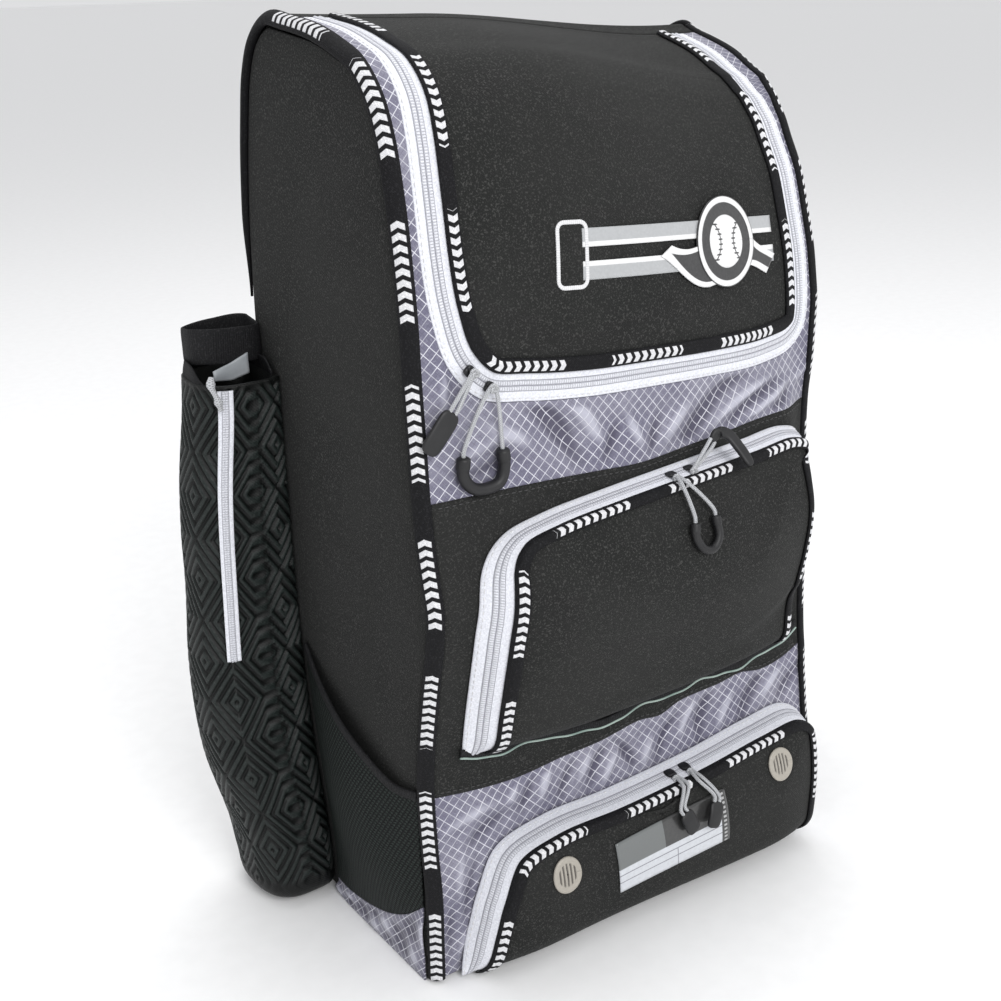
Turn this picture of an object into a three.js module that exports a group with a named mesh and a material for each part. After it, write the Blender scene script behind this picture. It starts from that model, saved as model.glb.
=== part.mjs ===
import * as THREE from "three";
import { mergeVertices } from "three/addons/utils/BufferGeometryUtils.js";

// Lengths are in millimetres. The bag stands on the floor at z = 0 and its front faces -Y.
// Left and right are the viewer's, looking at the front.

const bag = { width: 340, height: 624, depth: 200 };
const half = bag.width / 2;
const gap = 0.3;
const lay = 0.7;
const cloth = 2.4;
const sideWall = 3;
const backPad = 6;
const piping = { radius: 4.6, out: 1, sunk: 2 };
const frontHalf = half - piping.out - piping.radius - gap;

// Side view of the body from the lower front edge over the top to the lower back edge.
// back and up are shares of depth and height, bow is how far the middle of the width stands
// out and slump how far the right-hand edge has sunk, both in millimetres; the slump starts
// at from, a share of half the width.
const profile = [
  { back: -0.385, up: 0.0, bow: 2, slump: -11, from: -0.4 },
  { back: -0.39, up: 0.048, bow: 4, slump: -14, from: -0.4 },
  { back: -0.395, up: 0.112, bow: 5, slump: -14, from: -0.4 },
  { back: -0.38, up: 0.176, bow: 5, slump: -12, from: -0.4 },
  { back: -0.375, up: 0.24, bow: 5, slump: -9, from: -0.4 },
  { back: -0.395, up: 0.296, bow: 7, slump: -1, from: -0.4 },
  { back: -0.435, up: 0.362, bow: 9, slump: 8, from: 0.75 },
  { back: -0.47, up: 0.413, bow: 10, slump: 17, from: 0.75 },
  { back: -0.485, up: 0.455, bow: 10, slump: 22, from: 0.75 },
  { back: -0.47, up: 0.484, bow: 9, slump: 19, from: 0.75 },
  { back: -0.45, up: 0.521, bow: 8, slump: 17, from: 0.75 },
  { back: -0.435, up: 0.569, bow: 7, slump: 14, from: 0.75 },
  { back: -0.43, up: 0.609, bow: 8, slump: 10, from: 0.5 },
  { back: -0.42, up: 0.679, bow: 9, slump: 7, from: 0.2 },
  { back: -0.415, up: 0.737, bow: 9, slump: 12, from: -0.4 },
  { back: -0.405, up: 0.777, bow: 8, slump: 17, from: -0.4 },
  { back: -0.39, up: 0.822, bow: 6, slump: 22, from: -0.4 },
  { back: -0.37, up: 0.861, bow: 4, slump: 30, from: -0.4 },
  { back: -0.345, up: 0.897, bow: 2, slump: 36, from: -0.4 },
  { back: -0.295, up: 0.933, bow: 0, slump: 39, from: -0.4 },
  { back: -0.205, up: 0.962, bow: -3, slump: 39, from: -0.4 },
  { back: -0.1, up: 0.976, bow: -5, slump: 36, from: -0.4 },
  { back: 0.02, up: 0.987, bow: -6, slump: 31, from: -0.4 },
  { back: 0.19, up: 0.995, bow: -6, slump: 25, from: -0.4 },
  { back: 0.32, up: 0.998, bow: -4, slump: 20, from: -0.4 },
  { back: 0.425, up: 0.978, bow: -1, slump: 14, from: -0.4 },
  { back: 0.49, up: 0.944, bow: 1, slump: 8, from: -0.4 },
  { back: 0.53, up: 0.897, bow: 3, slump: 4, from: -0.4 },
  { back: 0.56, up: 0.849, bow: 4, slump: 2, from: -0.4 },
  { back: 0.59, up: 0.769, bow: 4, slump: 0, from: -0.4 },
  { back: 0.615, up: 0.641, bow: 5, slump: 0, from: -0.4 },
  { back: 0.615, up: 0.481, bow: 6, slump: 0, from: -0.4 },
  { back: 0.6, up: 0.321, bow: 6, slump: 0, from: -0.4 },
  { back: 0.57, up: 0.16, bow: 5, slump: 0, from: -0.4 },
  { back: 0.53, up: 0.0, bow: 2, slump: 0, from: -0.4 },
];

// Soft dents and swells of the front cloth: across and up are shares of half the width and of
// the height, reach and rise the same of the width, deep is in millimetres.
const creases = [
  { across: -0.25, up: 0.6, reach: 0.22, rise: 0.03, deep: -3 },
  { across: 0.45, up: 0.61, reach: 0.16, rise: 0.025, deep: -2.4 },
  { across: 0.1, up: 0.8, reach: 0.3, rise: 0.2, deep: 2.5 },
  { across: -0.6, up: 0.19, reach: 0.12, rise: 0.03, deep: 2 },
  { across: 0.3, up: 0.205, reach: 0.18, rise: 0.03, deep: -2.2 },
];

// Heights of the seams across the front, as shares of the height.
const seams = { low: 0.245, high: 0.566, flapBack: 0.22 };

// Outer edges of the three zippers, from the left end to the right end.
const flapRows = [
  { across: -0.929, up: 0.886 },
  { across: -0.935, up: 0.793 },
  { across: -0.915, up: 0.737 },
  { across: -0.859, up: 0.689 },
  { across: -0.741, up: 0.655 },
  { across: -0.559, up: 0.644 },
  { across: -0.294, up: 0.635 },
  { across: 0.000, up: 0.630 },
  { across: 0.324, up: 0.625 },
  { across: 0.647, up: 0.622 },
  { across: 0.841, up: 0.628 },
  { across: 0.929, up: 0.647 },
  { across: 0.953, up: 0.689 },
  { across: 0.956, up: 0.793 },
  { across: 0.947, up: 0.886 },
];
const midRows = [
  { across: -0.853, up: 0.272 },
  { across: -0.850, up: 0.356 },
  { across: -0.841, up: 0.436 },
  { across: -0.794, up: 0.492 },
  { across: -0.700, up: 0.517 },
  { across: -0.524, up: 0.529 },
  { across: -0.259, up: 0.536 },
  { across: 0.118, up: 0.542 },
  { across: 0.471, up: 0.546 },
  { across: 0.718, up: 0.548 },
  { across: 0.841, up: 0.535 },
  { across: 0.888, up: 0.494 },
  { across: 0.900, up: 0.401 },
  { across: 0.906, up: 0.276 },
];
const shoeRows = [
  { across: -0.909, up: 0.007 },
  { across: -0.850, up: 0.069 },
  { across: -0.815, up: 0.101 },
  { across: -0.718, up: 0.147 },
  { across: -0.497, up: 0.163 },
  { across: -0.176, up: 0.163 },
  { across: 0.235, up: 0.171 },
  { across: 0.588, up: 0.183 },
  { across: 0.824, up: 0.184 },
  { across: 0.935, up: 0.162 },
  { across: 0.959, up: 0.109 },
  { across: 0.959, up: 0.007 },
];

const tapeWidth = 20;
const coil = 0.8;
const binding = { from: 17.5, width: 9.5, thick: 2.6 };

// How far the two front pockets stand out: edge at the binding, middle more at the middle,
// reach is how soon, foot how high the lower edge turns in and toe how far it stays out.
// side and top are the shares of the zipper tape's width seen from the front, since the tape
// turns outwards.
const midPocket = { edge: 13, middle: 8, reach: 70, foot: 26, toe: 0, side: 0.9, top: 0.35 };
const shoePocket = { edge: 20, middle: 9, reach: 50, foot: 30, toe: 5, side: 0.5, top: 0.35 };

// Bat sleeve: up is a share of the height, out how far it stands off the side panel, front
// and back the ends of its section along Y as shares of the depth.
const sleeveRows = [
  { up: 0.006, out: 44, front: 0.310, back: 0.610 },
  { up: 0.016, out: 54, front: 0.275, back: 0.640 },
  { up: 0.048, out: 58, front: 0.265, back: 0.660 },
  { up: 0.091, out: 61, front: 0.275, back: 0.675 },
  { up: 0.135, out: 66, front: 0.300, back: 0.685 },
  { up: 0.190, out: 73, front: 0.325, back: 0.690 },
  { up: 0.280, out: 76, front: 0.355, back: 0.690 },
  { up: 0.400, out: 72, front: 0.370, back: 0.690 },
  { up: 0.515, out: 67, front: 0.370, back: 0.690 },
  { up: 0.600, out: 59, front: 0.370, back: 0.685 },
  { up: 0.636, out: 57, front: 0.370, back: 0.680 },
];
const sleeve = { wall: 3, around: 14, inner: 5, outer: 2.5 };

// Mesh side pocket: heights of its lower and upper edge from the front seam to the sleeve.
const meshRows = [
  { across: 0, low: 0.096, high: 0.236 },
  { across: 0.16, low: 0.07, high: 0.233 },
  { across: 0.37, low: 0.048, high: 0.25 },
  { across: 0.6, low: 0.034, high: 0.272 },
  { across: 0.82, low: 0.027, high: 0.298 },
  { across: 1, low: 0.025, high: 0.325 },
];
const mesh = { thick: 1.4, swell: 11, lip: 7 };
const boot = { thick: 1.6 };
const sideSwell = 6;
const footFlare = 3;

const looks = {
  cloth: { color: 0x2b2c2b, roughness: 0.9, metalness: 0 },
  ripstop: { color: 0x9c9aa6, roughness: 0.6, metalness: 0 },
  tape: { color: 0xdcdce0, roughness: 0.7, metalness: 0 },
  binding: { color: 0x141414, roughness: 0.8, metalness: 0 },
  mesh: { color: 0x1a1c1a, roughness: 0.85, metalness: 0 },
  embossed: { color: 0x1b1d1c, roughness: 0.6, metalness: 0 },
  rubber: { color: 0x0e0e0f, roughness: 0.5, metalness: 0 },
  cord: { color: 0xb9bbc0, roughness: 0.7, metalness: 0 },
  vent: { color: 0xa79f93, roughness: 0.4, metalness: 0.6 },
  label: { color: 0xb4b6b8, roughness: 0.5, metalness: 0 },
  patch: { color: 0xc9cacc, roughness: 0.6, metalness: 0 },
  webbing: { color: 0x171717, roughness: 0.85, metalness: 0 },
};

const group = new THREE.Group();

function clamp(value) {
  return Math.min(1, Math.max(0, value));
}

function smooth(value) {
  const share = clamp(value);
  return share * share * (3 - 2 * share);
}

function mix(from, to, share) {
  return from + (to - from) * share;
}

// A value read off a table by its first column.
function readTable(rows, key, column, value) {
  let row = 1;
  while (row < rows.length - 1 && rows[row][key] < value) {
    row += 1;
  }
  const share = (value - rows[row - 1][key]) / (rows[row][key] - rows[row - 1][key]);
  return mix(rows[row - 1][column], rows[row][column], share);
}

// The side view as closely spaced points with their distance along it.
function traceProfile() {
  const knots = profile.map((row) => new THREE.Vector3(row.back * bag.depth, row.up * bag.height, 0));
  const curve = new THREE.CatmullRomCurve3(knots, false, "centripetal");
  const parts = 16;
  const last = profile.length - 1;
  const points = [];
  let along = 0;
  for (let index = 0; index <= last * parts; index += 1) {
    const spot = curve.getPoint(index / (last * parts));
    const row = Math.min(last - 1, Math.floor(index / parts));
    const share = index / parts - row;
    if (index > 0) {
      const before = points[index - 1];
      along += Math.hypot(spot.x - before.y, spot.y - before.z);
    }
    points.push({
      along,
      y: spot.x,
      z: spot.y,
      bow: mix(profile[row].bow, profile[row + 1].bow, share),
      slump: mix(profile[row].slump, profile[row + 1].slump, share),
      from: mix(profile[row].from, profile[row + 1].from, share),
    });
  }
  return points;
}

const trace = traceProfile();
const profileLength = trace[trace.length - 1].along;

function traceAt(along) {
  const wanted = Math.min(profileLength, Math.max(0, along));
  let low = 0;
  let high = trace.length - 1;
  while (high - low > 1) {
    const middle = (low + high) >> 1;
    if (trace[middle].along > wanted) {
      high = middle;
    } else {
      low = middle;
    }
  }
  const share = (wanted - trace[low].along) / (trace[high].along - trace[low].along);
  const spot = {};
  for (const key of ["y", "z", "bow", "slump", "from"]) {
    spot[key] = mix(trace[low][key], trace[high][key], share);
  }
  return spot;
}

// Distance along the side view to a height on the front, a depth on the top, or a height on
// the back.
function alongWhere(key, value, reached) {
  const index = Math.max(1, trace.findIndex(reached));
  const before = trace[index - 1];
  const share = (value - before[key]) / (trace[index][key] - before[key]);
  return mix(before.along, trace[index].along, share);
}

function alongFront(height) {
  return alongWhere("z", height, (spot) => spot.z >= height);
}

function alongTop(depth) {
  return alongWhere("y", depth, (spot) => spot.z > 0.9 * bag.height && spot.y >= depth);
}

function alongBack(height) {
  return alongWhere("z", height, (spot) => spot.y > 0.4 * bag.depth && spot.z <= height);
}

const creaseSpots = creases.map((row) => ({
  x: row.across * half,
  along: alongFront(row.up * bag.height),
  reach: row.reach * bag.width,
  rise: row.rise * bag.width,
  deep: row.deep,
}));

// A point of the front, top or back: x across, the distance along the side view, and how far
// it stands off the cloth.
function lift(x, along, off) {
  const spot = traceAt(along);
  const before = traceAt(along - 4);
  const after = traceAt(along + 4);
  const length = Math.hypot(after.y - before.y, after.z - before.z);
  const out = { y: -(after.z - before.z) / length, z: (after.y - before.y) / length };
  const inside = 1 - Math.min(1, (x / frontHalf) ** 2);
  let total = off + spot.bow * inside - spot.slump * smooth((x / half - spot.from) / (1 - spot.from));
  for (const crease of creaseSpots) {
    const far = ((x - crease.x) / crease.reach) ** 2 + ((along - crease.along) / crease.rise) ** 2;
    total += crease.deep * Math.exp(-far) * inside;
  }
  return new THREE.Vector3(x, spot.y + out.y * total, spot.z + out.z * total);
}

// One closed mesh from points and triangles, turned to face outwards.
function addMesh(name, look, points, triangles) {
  const flat = new Float32Array(points.length * 3);
  points.forEach((point, index) => point.toArray(flat, index * 3));
  let geometry = new THREE.BufferGeometry();
  geometry.setAttribute("position", new THREE.BufferAttribute(flat, 3));
  geometry.setIndex(triangles);
  geometry = mergeVertices(geometry, 1e-3);
  const index = geometry.index.array;
  const place = geometry.attributes.position;
  const corner = [new THREE.Vector3(), new THREE.Vector3(), new THREE.Vector3()];
  const kept = [];
  let volume = 0;
  for (let start = 0; start < index.length; start += 3) {
    const [first, second, third] = [index[start], index[start + 1], index[start + 2]];
    if (first !== second && second !== third && third !== first) {
      kept.push([first, second, third]);
      [first, second, third].forEach((vertex, side) => corner[side].fromBufferAttribute(place, vertex));
      volume += corner[0].dot(corner[1].cross(corner[2]));
    }
  }
  if (volume < 0) {
    kept.forEach((triangle) => triangle.reverse());
  }
  geometry.setIndex(kept.flat());
  geometry.computeVertexNormals();
  const part = new THREE.Mesh(geometry, new THREE.MeshStandardMaterial(looks[look]));
  part.name = name;
  group.add(part);
}

// A sheet between two grids of points. open names the edges left out because they meet
// themselves.
function sheet(name, look, rows, columns, outer, inner, open = []) {
  const points = [];
  const triangles = [];
  for (const side of [outer, inner]) {
    for (let row = 0; row <= rows; row += 1) {
      for (let column = 0; column <= columns; column += 1) {
        points.push(side(row, column));
      }
    }
  }
  const wide = columns + 1;
  const under = (rows + 1) * wide;
  const quad = (a, b, c, d) => triangles.push(a, b, c, a, c, d);
  for (let row = 0; row < rows; row += 1) {
    for (let column = 0; column < columns; column += 1) {
      const spot = row * wide + column;
      quad(spot, spot + 1, spot + 1 + wide, spot + wide);
      quad(under + spot, under + spot + wide, under + spot + wide + 1, under + spot + 1);
    }
  }
  for (let column = 0; column < columns; column += 1) {
    const end = rows * wide + column;
    if (!open.includes("first row")) {
      quad(column + 1, column, under + column, under + column + 1);
    }
    if (!open.includes("last row")) {
      quad(end, end + 1, under + end + 1, under + end);
    }
  }
  for (let row = 0; row < rows; row += 1) {
    const start = row * wide;
    const end = start + columns;
    if (!open.includes("first column")) {
      quad(start, start + wide, under + start + wide, under + start);
    }
    if (!open.includes("last column")) {
      quad(end + wide, end, under + end, under + end + wide);
    }
  }
  addMesh(name, look, points, triangles);
}

// A round or flat bar swept along points. turn gives the section's first axis at each point.
function bar(name, look, spots, section, turn, closed = false) {
  const points = [];
  const triangles = [];
  const count = spots.length;
  const sides = section.length;
  spots.forEach((spot, index) => {
    const before = spots[closed ? (index + count - 1) % count : Math.max(0, index - 1)];
    const after = spots[closed ? (index + 1) % count : Math.min(count - 1, index + 1)];
    const ahead = after.clone().sub(before).normalize();
    const first = turn(index).clone().addScaledVector(ahead, -turn(index).dot(ahead)).normalize();
    const second = ahead.clone().cross(first);
    for (const [wide, thick] of section) {
      points.push(spot.clone().addScaledVector(first, wide).addScaledVector(second, thick));
    }
  });
  const rings = closed ? count : count - 1;
  for (let ring = 0; ring < rings; ring += 1) {
    for (let side = 0; side < sides; side += 1) {
      const next = (side + 1) % sides;
      const here = ring * sides;
      const there = ((ring + 1) % count) * sides;
      triangles.push(here + side, here + next, there + next, here + side, there + next, there + side);
    }
  }
  if (!closed) {
    const end = (count - 1) * sides;
    for (let side = 1; side < sides - 1; side += 1) {
      triangles.push(0, side + 1, side, end, end + side, end + side + 1);
    }
  }
  addMesh(name, look, points, triangles);
}

function roundSection(radius, sides) {
  return Array.from({ length: sides }, (_, side) => {
    const angle = (side / sides) * 2 * Math.PI;
    return [radius * Math.cos(angle), radius * Math.sin(angle)];
  });
}

function flatSection(width, thick) {
  const edge = Math.min(thick / 2, width / 4);
  return [
    [-width / 2, -thick / 2 + edge / 2],
    [-width / 2 + edge, -thick / 2],
    [width / 2 - edge, -thick / 2],
    [width / 2, -thick / 2 + edge / 2],
    [width / 2, thick / 2 - edge / 2],
    [width / 2 - edge, thick / 2],
    [-width / 2 + edge, thick / 2],
    [-width / 2, thick / 2 - edge / 2],
  ];
}

// Outline of a zipper across the front: points with the direction towards the middle of what
// it closes. over lists points beyond the table's right end and, mirrored, beyond its left
// end; facing is 1 where the opening is above. side and top are the shares of the tape's
// width seen from the front, and close adds points near both ends, which then run level.
function outline(rows, over, facing, steps, side, top, close) {
  const knots = rows.map((row) => new THREE.Vector3(row.across * half, alongFront(row.up * bag.height), 0));
  for (const knot of over) {
    knots.push(knot);
    knots.unshift(new THREE.Vector3(-knot.x, knot.y, 0));
  }
  const curve = new THREE.CatmullRomCurve3(knots, false, "centripetal");
  const shares = Array.from({ length: steps + 1 }, (_, step) => step / steps);
  for (const share of close) {
    shares.push(share / steps, 1 - share / steps);
  }
  shares.sort((first, second) => first - second);
  const spots = shares.map((share) => curve.getPointAt(share)).map((knot) => ({ x: knot.x, along: knot.y }));
  return spots.map((spot, index) => {
    const before = spots[Math.max(0, index - 1)];
    const after = spots[Math.min(spots.length - 1, index + 1)];
    const length = Math.hypot(after.x - before.x, after.along - before.along);
    const end = close.length > 0 && (index === 0 || index === spots.length - 1);
    const inX = end ? -Math.sign(spot.x) : (-facing * (after.along - before.along)) / length;
    const inAlong = end ? 0 : (facing * (after.x - before.x)) / length;
    return { x: spot.x, along: spot.along, inX, inAlong, narrow: side * inX ** 2 + top * inAlong ** 2 };
  });
}

// A point in from an outline, with the distance taken over the tape's own width.
function inset(spot, deep) {
  const seen = deep < tapeWidth ? deep * spot.narrow : deep - tapeWidth * (1 - spot.narrow);
  return { x: spot.x + spot.inX * seen, along: spot.along + spot.inAlong * seen };
}

// The distance in from an outline to a point, again over the tape's own width.
function depthInside(path, x, along) {
  let least = Infinity;
  let narrow = 1;
  for (let index = 1; index < path.length; index += 1) {
    const from = path[index - 1];
    const to = path[index];
    const run = { x: to.x - from.x, along: to.along - from.along };
    const length = run.x ** 2 + run.along ** 2;
    const share = clamp(((x - from.x) * run.x + (along - from.along) * run.along) / length);
    const far = Math.hypot(x - from.x - share * run.x, along - from.along - share * run.along);
    if (far < least) {
      least = far;
      narrow = mix(from.narrow, to.narrow, share);
    }
  }
  return least < tapeWidth * narrow ? least / narrow : least + tapeWidth * (1 - narrow);
}

// How far a pocket's cloth stands off the panel, from the distance in from its outline and
// the distance along the side view.
function pocketRise(pocket, foot, deep, along) {
  const edge = pocket.edge * clamp(deep / tapeWidth);
  const middle = pocket.middle * (1 - (1 - clamp((deep - tapeWidth) / pocket.reach)) ** 2);
  const ground = 1 - clamp((along - foot) / pocket.foot);
  return (edge + middle) * (1 - ground ** 3) + pocket.toe * ground ** 2;
}

// A strip along an outline: bands list the distance in, the lower and the upper face.
function strip(name, look, path, bands, rise) {
  const face = (side) => (row, column) => {
    const band = bands[column];
    const spot = inset(path[row], band.deep);
    return lift(spot.x, spot.along, rise(band.deep, spot.along) + band[side]);
  };
  sheet(name, look, path.length - 1, bands.length - 1, face("high"), face("low"));
}

// The cloth inside an outline, drawn from the outline to a line up its middle.
function fan(name, look, path, shares, rise, low, high) {
  const last = path.length - 1;
  const base = (path[0].along + path[last].along) / 2;
  const face = (off) => (row, column) => {
    const edge = inset(path[row], tapeWidth + gap);
    const level = (path[row].along + path[last - row].along) / 2;
    const share = shares[column];
    const x = edge.x * (1 - share);
    const along = mix(edge.along, mix(base, level, 0.78), share);
    const within = column === 0 ? tapeWidth + gap : depthInside(path, x, along);
    return lift(x, along, rise(within, along) + off);
  };
  sheet(name, look, last, shares.length - 1, face(high), face(low), ["last column"]);
}

function tapeBands(low, thick) {
  return [
    { deep: gap, low, high: low + thick },
    { deep: 0.3 * tapeWidth, low, high: low + thick + coil },
    { deep: 0.55 * tapeWidth, low, high: low + thick + coil },
    { deep: tapeWidth, low, high: low + thick },
  ];
}

function bindingBands(low) {
  const { from, width, thick } = binding;
  return [
    { deep: from, low, high: low + 0.5 * thick },
    { deep: tapeWidth, low, high: low + thick },
    { deep: from + width, low, high: low + 0.5 * thick },
  ];
}

// A sheet over the whole width between two distances along the side view.
function frontGrid(name, look, from, to, rows, columns, thick) {
  const face = (off) => (row, column) => {
    const x = mix(-frontHalf, frontHalf, column / columns);
    return lift(x, mix(from, to, row / rows), off);
  };
  sheet(name, look, rows, columns, face(0), face(-thick));
}

// Panels behind the pockets, the padded back, the flap and the zipper round it.
const baseThick = 3;
const lowStart = alongFront(baseThick + gap);
const lowSeam = alongFront(seams.low * bag.height);
const highSeam = alongFront(seams.high * bag.height);
const flapEnd = alongTop(seams.flapBack * bag.depth);
const backEnd = alongBack(baseThick + gap);
const flat = () => 0;

frontGrid("lower_front_panel", "ripstop", lowStart, lowSeam - gap, 6, 8, cloth);
frontGrid("middle_front_panel", "cloth", lowSeam, highSeam - gap, 9, 8, cloth);
frontGrid("back_panel", "cloth", flapEnd + gap, backEnd, 16, 5, backPad);

const flapOver = [
  new THREE.Vector3(frontHalf - gap, alongFront(0.945 * bag.height), 0),
  new THREE.Vector3(frontHalf - gap, flapEnd, 0),
];
const flapPath = outline(flapRows, flapOver, 1, 34, 1, 1, []);
strip("flap_zipper", "tape", flapPath, tapeBands(-1.2, 1.2), flat);
strip("flap_binding", "binding", flapPath, bindingBands(2 * gap), flat);
fan("top_flap", "cloth", flapPath, [0, 0.15, 0.4, 0.7, 1], flat, -cloth, 0);

// The strip round the flap, from its zipper out to the side seams and down to the seam below.
function yoke() {
  const used = flapPath.filter((spot) => spot.along < alongFront(0.925 * bag.height));
  const last = used.length - 1;
  const corner = used.findIndex((spot) => spot.inX < spot.inAlong);
  const edge = (row) => {
    const spot = used[row];
    const mirror = row > last / 2;
    const step = mirror ? last - row : row;
    const end = mirror ? used[last] : used[0];
    const sign = mirror ? 1 : -1;
    if (step <= corner) {
      return { x: sign * frontHalf, along: mix(end.along, highSeam, step / corner) };
    }
    return { x: spot.x * mix(1.12, 1, (step - corner) / (last / 2 - corner)), along: highSeam };
  };
  const columns = 2;
  const face = (off) => (row, column) => {
    const outer = edge(row);
    const share = column / columns;
    return lift(mix(outer.x, used[row].x, share), mix(outer.along, used[row].along, share), off);
  };
  sheet("yoke", "ripstop", last, columns, face(0), face(-cloth));
}
yoke();

// A front pocket with its zipper and binding. It gives back where its zipper lies and how
// far its face stands out.
function frontPocket(name, rows, pocket, steps, look) {
  const path = outline(rows, [], -1, steps, pocket.side, pocket.top, [0.25, 0.55]);
  const foot = Math.min(path[0].along, path[path.length - 1].along);
  const rise = (deep, along) => pocketRise(pocket, foot, deep, along);
  strip(`${name}_zipper`, "tape", path, tapeBands(lay, 1.6), rise);
  strip(`${name}_binding`, "binding", path, bindingBands(lay + cloth + 2 * gap), rise);
  fan(name, look, path, [0, 0.1, 0.25, 0.5, 1], rise, lay, lay + cloth);
  const top = (x, along) => rise(depthInside(path, x, along), along) + lay + cloth;
  return { path, rise, top, tapeTop: lay + 1.6 + coil };
}

const midZip = frontPocket("middle_pocket", midRows, midPocket, 26, "cloth");
const shoeZip = frontPocket("shoe_pocket", shoeRows, shoePocket, 26, "cloth");

// Small flat pieces lying on a front surface: a grid in the surface's own directions.
function plate(name, look, centre, width, tall, turn, thick, top, rows, columns) {
  const face = (off) => (row, column) => {
    const u = (column / columns - 0.5) * width;
    const v = (row / rows - 0.5) * tall;
    const x = centre.x + u * Math.cos(turn) - v * Math.sin(turn);
    const along = centre.along + u * Math.sin(turn) + v * Math.cos(turn);
    return lift(x, along, top(x, along) + off);
  };
  sheet(name, look, rows, columns, face(lay + thick), face(lay));
}

function disc(name, look, centre, radius, thick, top) {
  const around = 16;
  const face = (off) => (row, column) => {
    const angle = (row / around) * 2 * Math.PI;
    const reach = column === 0 ? 0 : radius;
    const x = centre.x + reach * Math.cos(angle);
    const along = centre.along + reach * Math.sin(angle);
    return lift(x, along, top(x, along) + off);
  };
  const open = ["first row", "last row", "first column"];
  sheet(name, look, around, 1, face(lay + thick), face(lay), open);
}

const flapPlace = (across, up) => ({ x: across * half, along: alongFront(up * bag.height) });
plate("flap_stripes", "patch", flapPlace(0.17, 0.766), 196, 34, -0.075, 1, flat, 2, 10);
disc("flap_emblem", "binding", flapPlace(0.44, 0.762), 29, 1.4, () => 1 + 3 * gap);
plate("id_label", "label", flapPlace(0.04, 0.1), 98, 36, 0.08, 1, shoeZip.top, 3, 6);
disc("vent_left", "vent", flapPlace(-0.5, 0.113), 11.5, 1.4, shoeZip.top);
disc("vent_right", "vent", flapPlace(0.64, 0.137), 11.5, 1.4, shoeZip.top);

// Side panels, with their edge just inside the piping.
function sideOut(y, z) {
  const deep = clamp((y / bag.depth + 0.42) / 1.02);
  const tall = clamp(z / (0.99 * bag.height));
  const foot = (1 - smooth(z / (0.16 * bag.height))) * smooth((0.36 - y / bag.depth) / 0.2);
  return sideSwell * 4 * deep * (1 - deep) * 4 * tall * (1 - tall) + footFlare * foot;
}

function sidePoint(sign, y, z, off) {
  return new THREE.Vector3(sign * (half + sideOut(y, z) + off), y, z);
}

function sidePanel(name, sign) {
  const rows = 17;
  const columns = 5;
  const sunk = piping.sunk + piping.radius + 5 * gap;
  const frontFrom = alongFront(0.5);
  const frontTo = alongTop(0.05 * bag.depth);
  const backTo = alongTop(0.3 * bag.depth);
  const backFrom = alongBack(0.5);
  const edgeX = sign * (half - piping.out);
  const face = (off) => (row, column) => {
    const share = row / rows;
    const front = lift(edgeX, mix(frontFrom, frontTo, share), -sunk);
    const back = lift(edgeX, mix(backFrom, backTo, share), -sunk);
    const y = mix(front.y, back.y, column / columns);
    const z = mix(front.z, back.z, column / columns);
    return sidePoint(sign, y, Math.max(0.4, z), off);
  };
  sheet(name, "cloth", rows, columns, face(0), face(-sideWall));
}

function sidePiping(name, sign) {
  const from = alongFront(baseThick + 0.4);
  const to = alongBack(0.71 * bag.height);
  const steps = 38;
  const spots = [];
  for (let step = 0; step <= steps; step += 1) {
    spots.push(lift(sign * (half - piping.out), mix(from, to, step / steps), -piping.sunk));
  }
  bar(name, "binding", spots, roundSection(piping.radius, 5), () => new THREE.Vector3(-sign, 0, 0));
}

// Bat sleeves: a soft tube with a flat side on the side panel, closed at its foot.
function sleevePoint(sign, z, angle, off) {
  const up = z / bag.height;
  const out = readTable(sleeveRows, "up", "out", up);
  const front = readTable(sleeveRows, "up", "front", up) * bag.depth;
  const back = readTable(sleeveRows, "up", "back", up) * bag.depth;
  const reach = { x: out / 2 + off, y: (back - front) / 2 + off };
  const power = Math.cos(angle) < 0 ? sleeve.inner : sleeve.outer;
  const shape = (value) => Math.sign(value) * Math.abs(value) ** (2 / power);
  const y = (front + back) / 2 - reach.y * shape(Math.sin(angle));
  const x = half + out / 2 + reach.x * shape(Math.cos(angle));
  const least = half + sideOut(y, z) + lay - Math.min(0, off);
  return new THREE.Vector3(sign * Math.max(x, least), y, z);
}

function batSleeve(name, sign) {
  const around = sleeve.around;
  const levels = sleeveRows.map((row) => row.up * bag.height);
  const points = [];
  const triangles = [];
  for (const off of [0, -sleeve.wall]) {
    levels.forEach((level, index) => {
      const z = index === 0 && off < 0 ? level + sleeve.wall : level;
      for (let step = 0; step < around; step += 1) {
        points.push(sleevePoint(sign, z, ((step + 0.5) / around) * 2 * Math.PI, off));
      }
    });
  }
  const under = levels.length * around;
  const last = (levels.length - 1) * around;
  for (let step = 0; step < around; step += 1) {
    const next = (step + 1) % around;
    for (let level = 0; level < levels.length - 1; level += 1) {
      const here = level * around;
      const over = here + around;
      triangles.push(here + step, here + next, over + next, here + step, over + next, over + step);
      triangles.push(under + here + step, under + over + next, under + here + next);
      triangles.push(under + here + step, under + over + step, under + over + next);
    }
    triangles.push(last + step, last + next, under + last + next);
    triangles.push(last + step, under + last + next, under + last + step);
    if (step > 0 && step < around - 1) {
      triangles.push(0, step + 1, step, under, under + step, under + step + 1);
    }
  }
  addMesh(name, "embossed", points, triangles);
}

function sleeveZipper(name, sign) {
  const rows = 8;
  const centre = 1.0;
  const face = (off) => (row, column) => {
    const z = mix(0.326, 0.632, row / rows) * bag.height;
    const width = 14 / (0.9 * readTable(sleeveRows, "up", "out", z / bag.height));
    return sleevePoint(sign, z, centre + (column / 2 - 0.5) * width, off);
  };
  sheet(name, "tape", rows, 2, face(lay + 1.2), face(lay));
}

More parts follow.
